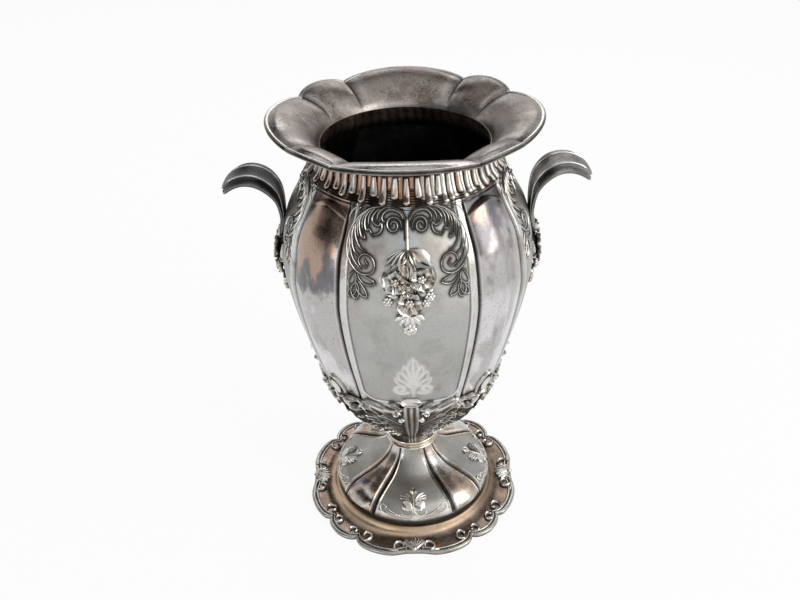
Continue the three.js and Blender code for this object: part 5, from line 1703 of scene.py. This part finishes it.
def foot_plate():
    """Rows from the bore over the seat, the slope and the channel to the edge and down, then back under."""
    angle = plate_angles[None, :]
    edge = plate_outline(angle)
    round_part = np.concatenate([seat_radii, slope_radii, channel_radii])
    last_round = channel_radii[-1] + 0.4
    last_z = float(plate_slope(last_round))
    rows = [(radius, plate_slope(radius)) for radius in round_part]
    for share in np.linspace(0.05, 1, 8):
        rows.append((lerp(last_round, edge - 5, share), lerp(last_z, edge_z, smooth_step(share, 0, 1))))
    edge_and_under = [
        (edge - 1.5, edge_z), (edge - 1.1, edge_z - 0.6), (edge - 1.1, 0), (edge - 3, 0),
        (edge - 3, edge_z - 1.6), (67.6, 0.9), (60.5, 3.0), (56, 6.5), (46, 6.5)]
    rows += [(edge - 2, edge_z)] + edge_and_under
    rings = np.concatenate([around(angle, radius, z) for radius, z in rows])
    on_left = smooth_step(np.sin(angle + 0.25), 0.75, -0.35)
    gilt = smooth_step(round_part[:, None], lerp(64, 68, on_left), 58.5) * lerp(0.55, 1.0, on_left)
    gold = np.zeros((len(rows), len(plate_angles)))
    gold[:len(round_part)] = gilt
    # Painted shade around the collar and on the underside.
    collar_and_underside_shade = np.zeros(len(rows))
    collar_and_underside_shade[:len(round_part)] = bump_at(round_part, 56, 2.0) * 0.9
    collar_and_underside_shade[-len(edge_and_under):] = 0.3
    dull = 0.35 * smooth_step(np.sin(angle), 0.2, 0.9)
    return loft(rings.transpose(1, 0, 2), runs_into_itself=True, matte=gold.T,
                recess=np.maximum(collar_and_underside_shade, dull.T))


piece("foot_plate_sheet", [foot_plate()], plate_gilt, ["foot_plate"])


def border_moulding():
    """Across it: a round roll that hangs over the plate's edge, a valley and a fine line."""
    turn = np.radians(np.linspace(-72, 165, 22))
    line_turn = np.radians(np.linspace(170, 10, 9))
    roll_inwards = roll_middle - roll_size * np.cos(turn)
    roll_z = np.maximum(edge_z - 0.2 + roll_size * np.sin(turn), 0.15)
    ridge_inwards = np.sort(line_inwards - line_size * np.cos(line_turn))
    inwards = np.concatenate([roll_inwards, ridge_inwards, [5.5, 5.5, 1.4]])
    z = np.concatenate([roll_z, edge_z + 1.1 * np.sin(line_turn), [edge_z, edge_z - 0.4, edge_z - 1.2]])
    edge = plate_outline(plate_angles)[:, None]
    rings = around(plate_angles[:, None], edge - inwards[None], z[None])
    # The roll's lower side is painted dark as shade, the valley holds patina, and the roll's top and the fine
    # line are brightened as wear and painted highlight.
    valley = bump_at(inwards, 3.3, 0.5)
    painted_shade_below = smooth_step(z, edge_z + 0.7, edge_z - 1.2)
    worn = np.maximum(0.45 * bump_at(inwards, 1.9, 0.5), 0.75 * bump_at(inwards, line_inwards, 0.5))
    return loft(rings, runs_into_itself=True, recess=np.clip(0.95 * valley + 0.85 * painted_shade_below, 0.28, 1),
                worn=worn * (z > edge_z))


def on_plate(x, inwards, lift=0.0):
    """A place by the front shell, sideways and in from its edge; the turn to a side or notch comes later."""
    x, inwards, lift = arrays(x, inwards, lift)
    point = np.stack([x, -shell_radius + inwards, edge_z + lift], -1)
    return point, np.broadcast_to(np.array([0.0, 0.0, 1.0]), point.shape)


def shell_and_scrolls():
    """A fan of ribs that opens inwards from the edge, and at either side a long scroll and a short curve."""
    fan_root = np.array([0, -shell_radius + 0.4, edge_z])
    skins = [{**rib, "points": rib["points"] + fan_root} for rib in fan(12.0, 3.4, 7, 84, 3.0, 90)]
    skins.append(bead(2.0, (0, -shell_radius + 1.4, edge_z + 2.4), 0.8))
    tail = through([(18.5, 2.6), (15.5, 1.6), (12.5, 1.4)], 10)[:-1]
    scroll = np.concatenate([tail, volute((10.2, 5.8), 4.6, 2.4, -70, 270, 40)])
    for mirror in (np.array([-1, 1]), np.array([1, 1])):
        curve = through(np.array([(6.2, 2.0), (5.0, 6.5), (6.8, 10.6)]) * mirror, 16)
        skins.append(wire(scroll * mirror, 2.2, 2.2, on_plate, worn=0.7, recess=0.9))
        skins.append(wire(curve, 1.5, 3.0, on_plate, worn=0.8))
    return skins


def notch_scrolls():
    """Beside a notch the moulding's ends turn inwards, the long lobe's in a larger scroll."""
    skins = []
    for side, size in ((-1, 5.0), (1, 4.0)):
        centre = (size + 0.8, shell_radius - notch_radius + size + 0.6)
        curl = volute(centre, size, 1.5, -95, 320, 44) * np.array([side, 1])
        skins.append(wire(curl, 2.2, 2.2, on_plate, worn=0.7, recess=0.9))
    return skins


def mirrored_skin(skin):
    """The skin's mirror image about x = 0, its faces turned over so that they still point out."""
    return {**skin, "points": skin["points"] * np.array([-1, 1, 1]), "quads": skin["quads"][:, ::-1],
            "caps": [cap[::-1] for cap in skin["caps"]]}


shell_skins = shell_and_scrolls()
notch_skins = notch_scrolls()
border_skins = [border_moulding()]
for turn in range(4):
    border_skins += turned_all(shell_skins, turn)
    border_skins += [spun(skin, turn * quarter + plate_notch) for skin in notch_skins]
    border_skins += [spun(mirrored_skin(skin), turn * quarter - plate_notch) for skin in notch_skins]
piece("border_moulding", border_skins, cast_silver, ["foot_border"])

# %% [markdown]
# Between plate and dome stands a plain collar, in shadow, and between dome and body a spool of brass,
# both turned on a lathe. A threaded stud under the body, a washer and a nut hold the whole vase
# together. They are inside, so the frame's own solids stay, and only get a dull steel finish.

# %% The collar, the knop and what holds them together
collar_profile = [(51, 8), (55.2, 8), (55.4, 8.6), (55.0, 9.2), (55.0, 13.3), (54.6, 13.8), (51, 13.8)]
knop_corners = [
    (16.8, 46.0), (18.2, 46.2), (18.9, 46.9), (18.4, 47.7), (17.3, 48.4), (17.1, 49.6), (17.5, 50.8),
    (18.6, 51.7), (19.2, 52.4), (18.9, 53.3), (17.6, 53.8)]
knop_bore = [(11.5, 53.9), (11.5, 50.7), (4.5, 50.7)]


def lathe(profile, **inks):
    """A closed profile of (radius, height) points turned about the vase's axis."""
    radius, z = np.array(profile, float).T
    angle = np.linspace(0, 2 * math.pi, 180, endpoint=False)[:, None]
    return loft(around(angle, radius[None], z[None]), runs_into_itself=True, **inks)


# The collar is painted dark as shade.
piece("collar_ring", [lathe(collar_profile, recess=0.75)], dark_silver, ["foot_collar"])

knop_side = through(knop_corners, 5 * len(knop_corners))
knop_profile = np.concatenate([[(4.5, 46.0)], knop_side, knop_bore])
knop_z = knop_profile[:, 1]
is_outside = knop_profile[:, 0] > 15
# The two beads are painted bright as highlight and wear, and the waist a little darker as shade.
bright = np.clip(0.9 * bump_at(knop_z, 53.0, 0.9) + 0.6 * bump_at(knop_z, 46.9, 0.7), 0, 1)
hollow = 0.15 * bump_at(knop_z, 49.4, 1.4)
knop_skin = lathe(knop_profile, worn=bright * is_outside, recess=hollow * is_outside)
piece("knop_spool", [knop_skin], knop_brass, ["knop_ring"])

for node in ("tie_stud", "foot_washer", "foot_nut"):
    for slot in bpy.data.objects[node].material_slots:
        slot.material = plain_steel
print("fasteners keep their solids: 3")

# %% [markdown]
# The dressed vase should be as large as its frame, but for what the frame leaves to this lesson. The
# last call prints how many triangles all the pieces have.

print("all triangles:", sum(piece_counts))
